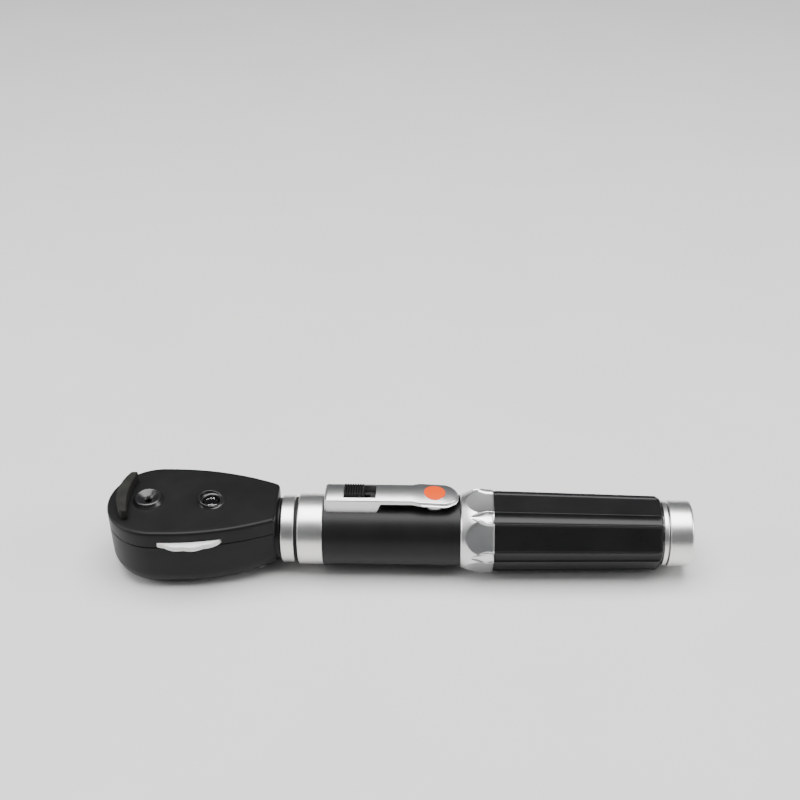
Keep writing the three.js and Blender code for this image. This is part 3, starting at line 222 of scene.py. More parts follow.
# %% Lathe helper
RING_STEPS = 192
BEND_STEPS = np.linspace(0, 1, 7)[:, None]


def softened(corners, closed=True):
    """Corners (radius, along, setback) in mm as a polyline in metres, each corner bent over its setback."""
    given = np.array(corners, float) * MM
    points, setback = given[:, :2], given[:, 2:]
    before = np.roll(points, 1, axis=0) - points
    after = np.roll(points, -1, axis=0) - points
    start = points + before / np.linalg.norm(before, axis=1, keepdims=True) * setback
    stop = points + after / np.linalg.norm(after, axis=1, keepdims=True) * setback
    t = BEND_STEPS[None]
    bend = (1 - t) ** 2 * start[:, None] + 2 * t * (1 - t) * points[:, None] + t**2 * stop[:, None]
    line = bend if closed else bend[1:-1]
    line = line.reshape(-1, 2)
    return line if closed else np.concatenate([points[:1], line, points[-1:]])


def carried_round(profile, axis, centre, steps=RING_STEPS):
    """Each profile point (r, a) goes to a along the axis, and r·cos, r·sin of the turn beside it."""
    turn = np.linspace(0, 2 * np.pi, steps, endpoint=False)[:, None]
    radius, along = profile[None, :, 0], profile[None, :, 1]
    beside, over = radius * np.cos(turn), radius * np.sin(turn)
    along = np.broadcast_to(along, beside.shape)
    parts = [along, beside, over] if axis == "x" else [beside, over, along]
    return np.stack(parts, axis=-1) + np.array(centre)


def turned(name, corners, axis="x", centre=(0, 0, 0), closed=True, crease=CREASE):
    """A lathe piece; an open profile starts and ends on the axis."""
    points = carried_round(softened(corners, closed), axis, centre)
    faces = cells(*points.shape[:2], round_u=True, round_v=closed)
    return put_mesh(name, points, faces, crease)


def handle_piece(name, corners, **more):
    """A lathe piece on the handle's axis; the corners' second number is x in mm."""
    return turned(name, corners, "x", (0, 0, axis_z), **more)


def face_piece(name, corners, x, **more):
    """A lathe piece that stands on the head's face; the corners' second number is z in mm."""
    return turned(name, corners, "z", (x, 0, 0), **more)


print("a ring has", RING_STEPS, "steps round, and each bend", len(BEND_STEPS), "points")

# %% [markdown]
# ## Finishes as sums
#
# A finish is a node tree. Wiring it node by node hides the idea, so here a socket is wrapped in a small
# class with + - and *: `0.3 + 0.1 * grain` then reads as it is and still makes ordinary Math nodes.
# Colours never go through Math, because that would turn them grey; they use a Mix node.

# %% Socket arithmetic


class Wire:
    """One output socket. Arithmetic on it adds Math nodes to its finish."""

    def __init__(self, finish, socket):
        self.finish = finish
        self.socket = socket

    def _math(self, operation, first, second):
        return self.finish.node("ShaderNodeMath", {"operation": operation}, {0: first, 1: second})

    def __add__(self, other):
        return self._math("ADD", self, other)

    def __radd__(self, other):
        return self._math("ADD", other, self)

    def __sub__(self, other):
        return self._math("SUBTRACT", self, other)

    def __rsub__(self, other):
        return self._math("SUBTRACT", other, self)

    def __mul__(self, other):
        return self._math("MULTIPLY", self, other)

    def __rmul__(self, other):
        return self._math("MULTIPLY", other, self)


class Finish:
    """One material: a Principled surface and the nodes that feed it."""

    def __init__(self, name, **even):
        self.material = bpy.data.materials.new(name)
        self.material.use_nodes = True
        self.tree = self.material.node_tree
        self.shader = self.tree.nodes["Principled BSDF"]
        self.place = self.node("ShaderNodeTexCoord", output="Object")
        self.feed(**even)

    def join(self, value, socket):
        """Links a Wire to the socket, or sets a plain value on it."""
        if isinstance(value, Wire):
            self.tree.links.new(value.socket, socket)
        else:
            socket.default_value = value

    def node(self, kind, settings=None, sockets=None, output=0):
        """Adds any node: its settings first, then the values or links of its sockets."""
        made = self.tree.nodes.new(kind)
        for key, value in (settings or {}).items():
            setattr(made, key, value)
        for key, value in (sockets or {}).items():
            self.join(value, made.inputs[key])
        return Wire(self, made.outputs[output])

    def feed(self, **sockets):
        """Sets or links the surface's sockets; an underscore in a keyword stands for a space."""
        for key, value in sockets.items():
            self.join(value, self.shader.inputs[key.replace("_", " ")])
        return self

    def noise(self, size, stretch=(1, 1, 1), detail=2.0, roughness=0.5):
        """Noise whose spots are about size mm across, from 0 to 1; a stretch above 1 packs them closer."""
        scaled = self.node("ShaderNodeVectorMath", {"operation": "MULTIPLY"}, {0: self.place, 1: stretch})
        inputs = {"Vector": scaled, "Scale": 1 / (size * MM), "Detail": detail, "Roughness": roughness}
        return self.node("ShaderNodeTexNoise", None, inputs)

    def between(self, share, low, high):
        """A colour that goes from low to high as share goes from 0 to 1."""
        mixed = {0: share, 6: low, 7: high}
        return self.node("ShaderNodeMix", {"data_type": "RGBA"}, mixed, output=2)

    def step(self, value, low, high):
        """0 below low and 1 above high, with a straight rise between."""
        inputs = {"Value": value, "From Min": low, "From Max": high}
        return self.node("ShaderNodeMapRange", {"clamp": True}, inputs)

    def bump(self, height, depth):
        """Tilts the surface as if height, from 0 to 1, were depth mm of relief."""
        relief = {"Height": height, "Distance": depth * MM, "Strength": 1.0}
        return self.feed(Normal=self.node("ShaderNodeBump", None, relief))


def paint(piece, finish):
    """Gives a piece one finish in its first slot and drops any others."""
    piece.data.materials.clear()
    piece.data.materials.append(finish.material)
    return piece


print("sums of sockets ready")

# %% [markdown]
# ## Black plastics
#
# The head is moulded in a die with a fine spark-eroded texture, which gives a soft satin sheen. Two sizes of
# noise do it: one of about a tenth of a millimetre for the texture's relief, and one of some centimetres that
# shifts the roughness, as handling does. A grain image would need UV maps; noise on the object's own
# coordinates needs none. The shiny rings have the same colour with far less roughness and a clear coat.

# %% Black plastics


def moulded(name, shade, rough, grain=0.12, relief=0.006, sheen=0.35):
    """Satin moulded plastic: fine grain relief, cloudy roughness and a slightly uneven colour."""
    finish = Finish(name, IOR=1.48, Specular_IOR_Level=sheen)
    texture = finish.noise(grain, detail=3.0)
    cloud = finish.noise(14.0, detail=4.0, roughness=0.6)
    smear = finish.noise(3.0, stretch=(0.4, 1.6, 1.0), detail=3.0)
    dark = (shade * 0.82, shade * 0.83, shade * 0.86, 1)
    light = (shade * 1.2, shade * 1.2, shade * 1.22, 1)
    finish.feed(
        Base_Color=finish.between(finish.step(cloud, 0.3, 0.7), dark, light),
        Roughness=rough - 0.06 + 0.08 * cloud + 0.05 * smear + 0.04 * texture,
    )
    return finish.bump(texture, relief)


def polished(name, shade, rough):
    """Glossy moulded plastic: faint flow ripples, a trace of dust and hairline rubs in the roughness."""
    finish = Finish(name, IOR=1.5, Coat_Weight=0.12, Coat_Roughness=0.2)
    ripple = finish.noise(1.6, detail=2.0)
    rubs = finish.noise(0.5, stretch=(0.25, 3.0, 3.0), detail=4.0)
    dust = finish.step(finish.noise(0.12, detail=1.0), 0.68, 0.76)
    finish.feed(
        Base_Color=finish.between(dust * 0.25, (shade, shade, shade * 1.05, 1), (0.06, 0.06, 0.06, 1)),
        Roughness=rough + 0.08 * rubs + 0.1 * dust,
    )
    return finish.bump(ripple, 0.002)


shell_black = moulded("shell_black", 0.008, 0.36, sheen=0.16)
barrel_black = moulded("barrel_black", 0.008, 0.34, grain=0.09, relief=0.004, sheen=0.22)
grip_black = moulded("grip_black", 0.0075, 0.27, grain=0.14, relief=0.003, sheen=0.26)
inner_black = moulded("inner_black", 0.016, 0.5, grain=0.2, relief=0.01)
ring_black = polished("ring_black", 0.008, 0.26)
blacks = (shell_black, barrel_black, grip_black, inner_black, ring_black)
print("black plastics:", [finish.material.name for finish in blacks])

# %% [markdown]
# ## Metals
#
# The rings, the clip and the collar are blasted and then plated, so they are satin: a highlight spreads into
# a wide soft band. A turned ring also keeps very fine marks from the lathe, which run round it. Noise that is
# squeezed along the axis and drawn out around it makes such marks. The clip is pressed from sheet, so its
# marks run along it instead. Only the direction of the squeeze differs between the two.

# %% Metals


def satin(name, shade, rough, marks=(1, 1, 1), mark_size=0.1, relief=0.0016, worn=0.0):
    """Blasted and plated metal: fine marks drawn out one way, a cloudy sheen and a few polished rubs."""
    finish = Finish(name, Metallic=1.0, IOR=2.5)
    lines = finish.noise(mark_size, stretch=marks, detail=4.0, roughness=0.65)
    speck = finish.noise(0.07, detail=1.0)
    cloud = finish.noise(9.0, detail=4.0, roughness=0.6)
    rub = finish.step(finish.noise(2.2, stretch=(0.5, 1.4, 1.4), detail=5.0), 0.55, 0.8)
    low = tuple(part * 0.93 for part in shade) + (1,)
    finish.feed(
        Base_Color=finish.between(finish.step(cloud, 0.25, 0.75), low, shade + (1,)),
        Roughness=rough - 0.05 + 0.07 * cloud + 0.06 * lines - worn * rub,
    )
    return finish.bump(0.7 * lines + 0.3 * speck, relief)


RING_MARKS = (12, 0.5, 0.5)
SHEET_MARKS = (0.4, 9, 9)
ring_metal = satin("ring_metal", (0.80, 0.795, 0.775), 0.3, RING_MARKS)
cap_metal = satin("cap_metal", (0.82, 0.815, 0.795), 0.3, RING_MARKS)
clip_metal = satin("clip_metal", (0.70, 0.70, 0.695), 0.29, SHEET_MARKS, relief=0.0007, worn=0.03)
collar_metal = satin("collar_metal", (0.76, 0.76, 0.755), 0.3, SHEET_MARKS, relief=0.001, worn=0.04)
brass_metal = satin("brass_metal", (0.70, 0.52, 0.24), 0.3, RING_MARKS, worn=0.08)
steel_metal = satin("steel_metal", (0.52, 0.52, 0.53), 0.28, (1, 1, 1), worn=0.06)
print("metals:", [f.material.name for f in (ring_metal, clip_metal, collar_metal, brass_metal, steel_metal)])

# %% [markdown]
# ## Rubber, disc plastic, enamel, glass and the cells' wrap
#
# These are small areas, but each has its own way with light: rubber scatters it, the lens disc is a milky
# plastic with a soft shine, the enamel is smooth with a slight orange-peel surface, and the lenses let it
# through. The mirror is the one surface here with almost no roughness at all.

# %% Small finishes


def soft_rubber():
    """Matte rubber: pores in the relief and a grey bloom in hollows of the noise."""
    finish = Finish("brow_rubber", IOR=1.45, Specular_IOR_Level=0.2)
    pores = finish.noise(0.18, detail=3.0)
    bloom = finish.step(finish.noise(4.0, detail=4.0), 0.35, 0.75)
    finish.feed(
        Base_Color=finish.between(bloom, (0.011, 0.011, 0.0095, 1), (0.019, 0.019, 0.0165, 1)),
        Roughness=0.68 + 0.15 * pores,
    )
    return finish.bump(pores, 0.02)


def disc_plastic():
    """Milky plastic: light passes a little below the surface, with faint tool ripples."""
    finish = Finish("disc_plastic", IOR=1.49, Subsurface_Weight=0.15, Subsurface_Scale=0.6 * MM)
    ripple = finish.noise(0.5, detail=3.0)
    haze = finish.noise(5.0, detail=3.0)
    finish.feed(
        Base_Color=finish.between(haze, (0.70, 0.70, 0.68, 1), (0.83, 0.83, 0.81, 1)),
        Roughness=0.28 + 0.12 * ripple,
    )
    return finish.bump(ripple, 0.006)


def enamel():
    """Stoved enamel: smooth, with a slight orange-peel surface."""
    finish = Finish("orange_enamel", IOR=1.45, Specular_IOR_Level=0.25)
    peel = finish.noise(0.5, detail=2.0)
    tone = finish.noise(1.5, detail=3.0)
    finish.feed(
        Base_Color=finish.between(tone, (0.62, 0.05, 0.001, 1), (0.72, 0.075, 0.002, 1)),
        Roughness=0.26 + 0.08 * peel,
    )
    return finish.bump(peel, 0.004)


def clear_glass(name, tint, rough):
    """Clear glass with a faint smear in its roughness."""
    finish = Finish(name, Base_Color=tint, IOR=1.5, Transmission_Weight=1.0)
    smear = finish.noise(1.5, stretch=(0.5, 2.0, 1.0), detail=3.0)
    return finish.feed(Roughness=rough + 0.04 * smear)


def first_surface_mirror():
    """Silvered glass: metal with a trace of haze."""
    finish = Finish("mirror_silver", Base_Color=(0.93, 0.93, 0.94, 1), Metallic=1.0)
    return finish.feed(Roughness=0.02 + 0.02 * finish.noise(1.0))


def cell_wrap():
    """Printed film round a dry cell: two plain bands along x and a thin light line where they meet."""
    finish = Finish("cell_wrap", IOR=1.5, Coat_Weight=0.4, Coat_Roughness=0.15)
    along = finish.node("ShaderNodeSeparateXYZ", None, {0: finish.place}, output="X")
    pitch = (span("battery_rear", X)[0] - span("battery_front", X)[0]) / MM
    start = span("battery_front", X)[0] / MM
    share = finish.node("ShaderNodeMath", {"operation": "FRACT"}, {0: (along * (1 / MM) - start) * (1 / pitch)})
    dark = finish.step(share, 0.30, 0.31)
    line = finish.step(share, 0.295, 0.3) * (1 - finish.step(share, 0.315, 0.32))
    body = finish.between(dark, (0.55, 0.42, 0.12, 1), (0.018, 0.07, 0.035, 1))
    crease_marks = finish.noise(0.6, stretch=(0.4, 2, 2), detail=3.0)
    finish.feed(
        Base_Color=finish.between(line, body, (0.8, 0.8, 0.76, 1)),
        Roughness=0.28 + 0.1 * crease_marks,
    )
    return finish.bump(crease_marks, 0.01)


brow_rubber = soft_rubber()
disc_pale = disc_plastic()
badge_orange = enamel()
lens_glass = clear_glass("lens_glass", (0.96, 0.98, 0.98, 1), 0.01)
window_glass = clear_glass("window_glass", (0.95, 0.97, 0.97, 1), 0.01)
silver = first_surface_mirror()
wrap = cell_wrap()
washer_rubber = moulded("washer_rubber", 0.012, 0.6, grain=0.2, relief=0.012, sheen=0.2)
print("small finishes ready:", len(bpy.data.materials), "materials so far")

# %% [markdown]
# ## Rings, barrel and tail cap
#
# Each of these stands for one node of the mechanical model: it takes its length and radius from that node's
# box and adds the small bends on its edges. The bore is part of the profile, so every ring is a true ring.

# %% Rings, barrel and tail cap


def hand_over(piece, finish, slot, body, *nodes):
    """Paints a finished piece, lets it ride on its body and stand for the nodes it replaces."""
    paint(piece, finish)
    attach(piece, body)
    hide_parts(*nodes)
    print(piece.name, "-", len(piece.data.polygons), "faces, rides on", body)
    return piece


def ring_size(node):
    """Start, stop and rim radius in mm of a node that is turned on the handle's axis."""
    start, stop = span(node, X)
    return start / MM, stop / MM, (span(node, Z)[1] - axis_z) / MM


def ring_corners(node, bore, front, back):
    """Corners of a plain ring as long as a node: its bore, and its rim with a setback at each end, in mm."""
    start, stop, rim = ring_size(node)
    return [(bore, start, 0.1), (rim, start, front), (rim, stop, back), (bore, stop, 0.1)]


# Sizes in mm that no outer box shows.
SEAM = 0.05
NUT_BORE = 9.2
SPIGOT_RADIUS = 8.9
PIN_BORE = 3.2
CAP_ROOM = 0.3
CAP_FLOOR = 1.6
CAP_DISH = 0.25
CAP_DISH_RADIUS = 6.4

nut = handle_piece("union_ring", ring_corners("union_nut", NUT_BORE, 0.45, 0.45))
hand_over(nut, ring_metal, "satin_metal", "union_nut", "union_nut")

ferrule_start, ferrule_stop, ferrule_out = ring_size("handle_ferrule")
ferrule_face = ring_size("neck_washer")[1] + SEAM
ferrule = handle_piece("front_ferrule", [
    (PIN_BORE, ferrule_start, 0.2),
    (SPIGOT_RADIUS, ferrule_start, 0.3),
    (SPIGOT_RADIUS, ferrule_face, 0.1),
    (ferrule_out, ferrule_face, 0.5),
    (ferrule_out, ferrule_stop, 0.42),
    (PIN_BORE, ferrule_stop, 0.2),
])
hand_over(ferrule, ring_metal, "satin_metal", "handle", "handle_ferrule")

washer = handle_piece("groove_washer", ring_corners("neck_washer", SPIGOT_RADIUS + SEAM, 0.2, 0.2))
hand_over(washer, washer_rubber, "rubber", "handle", "neck_washer")

sleeve_bore = tube_radius / MM + SEAM
tail = handle_piece("tail_band", ring_corners("tail_ring", sleeve_bore, 0.3, 0.3))
hand_over(tail, cap_metal, "satin_metal", "handle", "tail_ring")

cap_start, cap_stop, cap_out = ring_size("tail_cap")
cap_bore = tube_radius / MM + CAP_ROOM
cap = handle_piece("end_cap", [
    (0, cap_stop - CAP_FLOOR, 0),
    (cap_bore, cap_stop - CAP_FLOOR, 0.3),
    (cap_bore, cap_start, 0.1),
    (cap_out, cap_start, 0.4),
    (cap_out, cap_stop, 1.15),
    (CAP_DISH_RADIUS, cap_stop, 0.3),
    (CAP_DISH_RADIUS - 0.3, cap_stop - CAP_DISH, 0.15),
    (0, cap_stop - CAP_DISH, 0),
], closed=False)
hand_over(cap, cap_metal, "satin_metal", "tail_cap", "tail_cap")

barrel = handle_piece("barrel_tube", ring_corners("barrel_sleeve", sleeve_bore, 0.3, 0.2))
hand_over(barrel, barrel_black, "black_plastic", "handle", "barrel_sleeve")

# %% [markdown]
# ## Collar and grip: a six-sided radius
#
# Both are almost lathe work, but their radius changes with the angle as well. For a flat at distance a from
# the axis, the radius at an angle φ from the flat's middle is a / cos φ. The collar is a round bulge, and
# wherever the flat lies deeper than the bulge, the flat wins: that is a minimum of two radii, and it gives
# the curved borders of the flats without drawing them. Along the six corners runs a shallow channel between
# two fine raised lines. On the collar the channel narrows to a point towards the barrel.

# %% Six-sided helpers
FLAT_STEPS = 14
COLLAR_FLAT_STEPS = 44
BAND_STEPS = 56
BAND_HALF = math.radians(9.2)
SIDES = 6


def sextant_angles(flat_steps):
    """Angles round the handle, close together in the bands at the corners, with flats at top and bottom."""
    half_flat = math.pi / SIDES - 1.25 * BAND_HALF
    flat = np.linspace(-half_flat, half_flat, flat_steps, endpoint=False)
    band = np.linspace(half_flat, 2 * math.pi / SIDES - half_flat, BAND_STEPS, endpoint=False)
    one = np.concatenate([flat, band])
    turns = np.arange(SIDES)[:, None] * 2 * math.pi / SIDES + math.pi / 2
    return (one + turns).reshape(-1)


def from_flat(angle):
    """Angle from the middle of the nearest flat, from -30 to 30 degrees."""
    pitch = 2 * np.pi / SIDES
    return (angle - np.pi / 2 + pitch / 2) % pitch - pitch / 2


def softer_least(first, second, reach):
    """The smaller of two radii, with the crease between them rounded over reach."""
    share = np.clip(0.5 + 0.5 * (second - first) / reach, 0, 1)
    return second * (1 - share) + first * share - reach * share * (1 - share)


def band_relief(angle, width, depth, lip):
    """Relief near a corner: a parabola of the given depth inside width, and a thin raised lip at its edge."""
    beside = np.abs(np.pi / SIDES - np.abs(from_flat(angle)))
    share = beside / np.maximum(width, 1e-4)
    channel = depth * np.clip(1 - (share / 0.9) ** 2, 0, 1) ** 0.8
    edge = lip * np.exp(-(((share - 1.0) / 0.17) ** 2))
    return edge - channel


def sleeve(name, x, angle, radius, bore):
    """A sleeve from radius (angles, stations) about the handle's axis, closed through its bore."""
    full = np.concatenate([np.full((len(angle), 1), bore), radius, np.full((len(angle), 1), bore)], axis=1)
    along = np.concatenate([x[:1], x, x[-1:]])[None] + 0 * full
    points = np.stack([along, full * np.cos(angle), full * np.sin(angle) + axis_z], axis=-1)
    return put_mesh(name, points, cells(*points.shape[:2], round_u=True, round_v=True))


print("angles round the grip:", len(sextant_angles(FLAT_STEPS)))

# %% Grip
GRIP_STATIONS = 70
grip_start, grip_stop = span("grip_sleeve", X)
grip_flat = span("grip_sleeve", Z)[1] - axis_z
grip_taper = 1.05 * MM
grip_ridge = 0.85 * MM
angle = sextant_angles(FLAT_STEPS)[:, None]
t = 1 - (1 - np.linspace(0, 1, GRIP_STATIONS)) ** 1.6
grip_x = grip_start + t * (grip_stop - grip_start)
share = ((grip_x - grip_start) / (grip_stop - grip_start))[None]
flat_radius = (grip_flat - grip_taper * share) / np.cos(from_flat(angle))
ridge_radius = grip_flat + grip_ridge - grip_taper * share
grip_radius = softer_least(flat_radius, ridge_radius + 0 * angle, 0.12 * MM)
shoulder = round_off(grip_stop - grip_x, 1.9 * MM, 0.95 * MM)
shoulder = shoulder + round_off(grip_x - grip_start, 0.3 * MM, 0.12 * MM)
fade = smooth((grip_stop - grip_x) / (1.6 * MM))
grip_radius = grip_radius + band_relief(angle, BAND_HALF, 0.55 * MM, 0.2 * MM) * fade[None] - shoulder[None]
grip = sleeve("hex_grip", grip_x, angle, grip_radius, sleeve_bore * MM)
hand_over(grip, grip_black, "black_grip", "handle", "grip_sleeve")

# %% Collar
COLLAR_STATIONS = 110
COLLAR_PEAK = 0.62
collar_start, collar_stop = span("faceted_collar", X)
collar_front = barrel_radius + 0.2 * MM
collar_bulge = 1.75 * MM
collar_flat = barrel_radius + 0.8 * MM
angle = sextant_angles(COLLAR_FLAT_STEPS)[:, None]
turn = np.linspace(0, np.pi, COLLAR_STATIONS)
t = (1 - np.cos(turn)) / 2
collar_x = collar_start + t * (collar_stop - collar_start)
swell = np.sin(np.minimum(t / COLLAR_PEAK, 1) * np.pi / 2)
fall = 0.5 * MM * np.clip((t - COLLAR_PEAK) / (1 - COLLAR_PEAK), 0, 1) ** 2
round_radius = (collar_front + collar_bulge * swell - fall)[None] + 0 * angle
hollow = 0.22 * MM * np.clip(1 - (from_flat(angle) / math.radians(24)) ** 2, 0, 1) * smooth(t / 0.7)[None]
flat_radius = (collar_flat + 0.19 * MM * (1 - t)[None] ** 2 - hollow) / np.cos(from_flat(angle))
collar_radius = softer_least(round_radius, flat_radius, 0.1 * MM)
open_share = np.clip((t - 0.26) / 0.5, 0, 1)[None]
band = band_relief(angle, BAND_HALF * open_share**0.8, 0.5 * MM, 0.2 * MM) * smooth(open_share * 2)
edges = round_off(collar_x - collar_start, 0.5 * MM, 0.3 * MM)
edges = edges + round_off(collar_stop - collar_x, 0.9 * MM, 0.35 * MM)
collar_radius = collar_radius + band - edges[None]
collar = sleeve("facet_collar", collar_x, angle, collar_radius, sleeve_bore * MM)
hand_over(collar, collar_metal, "chrome", "handle", "faceted_collar")

# %% [markdown]
# ## Plans with a round tip
#
# The head and the clip look different, but both are a plan that is straight or gently curved along its sides
# and half-round at its tip, with a wall that bends over into a top. So both use one formula. A point starts
# on the plan's edge, moves inwards by an inset towards the spine, and then a share of what is left: the spine
# is the middle line, and at the tip it is the centre of the half circle. Heights are given row by row.

# %% Helper for such plans


def over_plan(edge, spine, inset, height, share):
    """Grid over a plan that mirrors about y = 0: edge and spine (n, 2), inset and height (n, rows)."""
    inward = spine - edge
    inward = inward / np.maximum(np.linalg.norm(inward, axis=1, keepdims=True), 1e-9)
    start = edge[:, None] + inward[:, None] * inset[:, :, None]
    flat = start + (spine[:, None] - start) * np.broadcast_to(share, inset.shape)[:, :, None]
    half = np.concatenate([flat, height[:, :, None]], axis=2)
    other = half[::-1] * [1, -1, 1]
    return np.concatenate([half, other[1:]])


def with_ends(grid, height):
    """Adds a first and a last column that gather in the middle of the straight end, at the given height."""
    point = np.array([grid[0, 0, 0], 0, height])
    column = np.broadcast_to(point, (1,) + grid.shape[1:])
    return np.concatenate([column, grid, column])


def stations(*marks):
    """Places from the first mark to the last, evenly spaced between neighbours: (value, steps to the next)."""
    parts = [np.linspace(a, b, n, endpoint=False) for (a, n), (b, _) in zip(marks[:-1], marks[1:])]
    return np.concatenate(parts + [[marks[-1][0]]])


def carve(piece, cutters, crease=CREASE):
    """Takes closed cutters away from a piece for good, and removes them."""
    for cutter in cutters:
        step = piece.modifiers.new("carve", "BOOLEAN")
        step.operation, step.solver, step.object = "DIFFERENCE", "EXACT", cutter
    graph = bpy.context.evaluated_depsgraph_get()
    carved = bpy.data.meshes.new_from_object(piece.evaluated_get(graph))
    piece.modifiers.clear()
    piece.data = carved
    finish_mesh(carved, crease)
    for cutter in cutters:
        bpy.data.objects.remove(cutter)
    return piece


DRILL_TURN = 0.01


def drill(x, y, radius, low, high):
    """A closed upright cylinder to cut a hole with, turned a hair so no corner meets the plane of symmetry."""
    corners = [(0, low, 0), (radius, low, 0.001), (radius, high, 0.001), (0, high, 0)]
    cutter = turned("drill", corners, "z", closed=False)
    cutter.data.transform(Matrix.Translation((x, y, 0)) @ Matrix.Rotation(DRILL_TURN, 4, "Z"))
    return cutter


def block(low, high):
    """A closed box between two corners, to cut a slot with."""
    pick = np.array([[i, j, k] for i in (0, 1) for j in (0, 1) for k in (0, 1)])
    points = np.where(pick == 1, np.array(high), np.array(low))
    faces = np.array([[0, 1, 3, 2], [4, 6, 7, 5], [0, 4, 5, 1], [2, 3, 7, 6], [0, 2, 6, 4], [1, 5, 7, 3]])
    return put_mesh("block", points, faces)


print("plan helpers ready")

# %% [markdown]
# ## The head's two shells
#
# The front cover carries the face; the rear housing is the deep half below the parting line. Each is a wall
# of 1.6 mm. Where the edge of the lens disc sticks out, a cylinder a little larger than the disc is taken
# away from the cover by a Boolean. Cells left out would open the wall too, but only along the grid's own
# lines. Both rims are bent in by a hair where they meet, and that draws the parting line.

# %% Plan of the head
WALL = 1.6 * MM
SHELL_CREASE = 17.0
FLANK_CURVE = 85 * MM
FLANK_STRAIGHT = 3.2 * MM
END_ROUND = 0.9 * MM
NOTCH_ROOM = 0.06
NOTCH_TOP = span("lens_disc", Z)[1] + 0.2 * MM
nose_x = head_start + head_half
NOSE_STEPS = 44
head_x = stations(
    (head_end, 8),
    (head_end - END_ROUND, 60),
    (nose_x, 1),
)


def head_plan(wall):
    """Edge and spine of the head's plan, drawn in by a wall: flanks of one large arc, a half-round nose."""
    near_end = smooth((head_x - (head_end - 8 * MM)) / (8 * MM))
    x = head_x - wall * near_end
    along = np.maximum(x - nose_x - FLANK_STRAIGHT, 0)
    half = head_half - wall - (FLANK_CURVE - np.sqrt(FLANK_CURVE**2 - along**2))
    turn = np.linspace(np.pi / 2, np.pi, NOSE_STEPS + 1)[1:]
    nose = np.stack([nose_x + (head_half - wall) * np.cos(turn), (head_half - wall) * np.sin(turn)], axis=1)
    edge = np.concatenate([np.stack([x, half], axis=1), nose])
    spine_x = np.concatenate([x, np.full(NOSE_STEPS, nose_x)])
    spine = np.stack([spine_x, np.zeros(len(spine_x))], axis=1)
    end_x = head_end - wall
    return edge, spine, round_off(end_x - spine_x, END_ROUND - 0.4 * wall)


print("stations from the neck to the tip of the nose:", len(head_x) + NOSE_STEPS)

# %% Front cover
LIP = 0.28 * MM
FILLET = 1.15 * MM
cover_low = span("front_cover", Z)[0]
BEND = np.linspace(0, np.pi / 2, 9)
FACE_SHARE = np.linspace(0, 1, 12)[1:]


def cover_grid(wall):
    """The cover's outside, or its inside at a wall's depth: up the wall, over a quarter round, to the spine."""
    edge, spine, drop = head_plan(wall)
    bend = max(FILLET - wall, 0.15 * MM)
    top = face_z - wall
    lip_in = LIP if wall == 0 else 0
    wall_z = cover_low + np.array([0, 0.5 * LIP, LIP, 1.3 * MM, 3 * MM])
    wall_in = [lip_in, 0.3 * lip_in, 0, 0, 0]
    rows_z = np.concatenate([wall_z, top - bend + bend * np.sin(BEND), np.full(len(FACE_SHARE), top)])
    rows_in = np.concatenate([wall_in, bend * (1 - np.cos(BEND)), np.full(len(FACE_SHARE), bend)])
    share = np.concatenate([np.zeros(len(wall_z) + len(BEND)), FACE_SHARE])
    lowered = np.clip((rows_z - cover_low) / (top - cover_low), 0, 1) ** 3
    height = rows_z[None] - drop[:, None] * lowered[None]
    grid = over_plan(edge, spine, rows_in[None] + drop[:, None], height, share)
    return with_ends(grid, cover_low)


outer, inner = cover_grid(0), cover_grid(WALL)
cover = walled("head_cover", outer, inner)
notch = drill(disc_x, 0, disc_radius / MM + NOTCH_ROOM, cover_low / MM - 1, NOTCH_TOP / MM)
eyepiece_hole = drill(sight_x, 0, 3.5, face_z / MM - 3, face_z / MM + 2)
dial_hole = drill(dial_x, 0, 3.3, face_z / MM - 3, face_z / MM + 2)
carve(cover, [notch, eyepiece_hole, dial_hole], SHELL_CREASE)
hand_over(cover, shell_black, "black_plastic", "head", "front_cover")

# %% Rear housing
BACK_EDGE = 7.5 * MM
BACK_RISE = 2.6 * MM
BACK_SLOPE = 25 * MM
SLOPE_CONTROL = 0.45
s = np.linspace(0, 1, 40)
slope_x = head_end - BACK_SLOPE * ((1 - s) ** 2 + 2 * SLOPE_CONTROL * s * (1 - s))
slope_z = BACK_RISE * s**2


def housing_grid(wall):
    """The housing's outside or inside: down the wall, round the back edge, and to the spine."""
    edge, spine, drop = head_plan(wall)
    back = wall + np.interp(spine[:, 0], slope_x, slope_z)
    bend = BACK_EDGE - 0.5 * wall
    lip_in = LIP if wall == 0 else 0
    turn = np.linspace(0, np.pi / 2, 17)
    wall_z = parting_z - np.array([0, 0.5, 1.0]) * LIP
    wall_in = np.array([1, 0.3, 0]) * lip_in
    floor_share = np.linspace(0, 1, 14)[1:]
    low = back[:, None] + drop[:, None]
    height = np.concatenate([
        wall_z[None] + 0 * low,
        low + bend - bend * np.sin(turn)[None],
        low + 0 * floor_share[None],
    ], axis=1)
    rows_in = np.concatenate([wall_in, bend * (1 - np.cos(turn)), np.full(len(floor_share), bend)])
    share = np.concatenate([np.zeros(len(wall_in) + len(turn)), floor_share])
    grid = over_plan(edge, spine, rows_in[None] + drop[:, None], height, share)
    return with_ends(grid, parting_z)


housing = walled("head_housing", housing_grid(0), housing_grid(WALL))

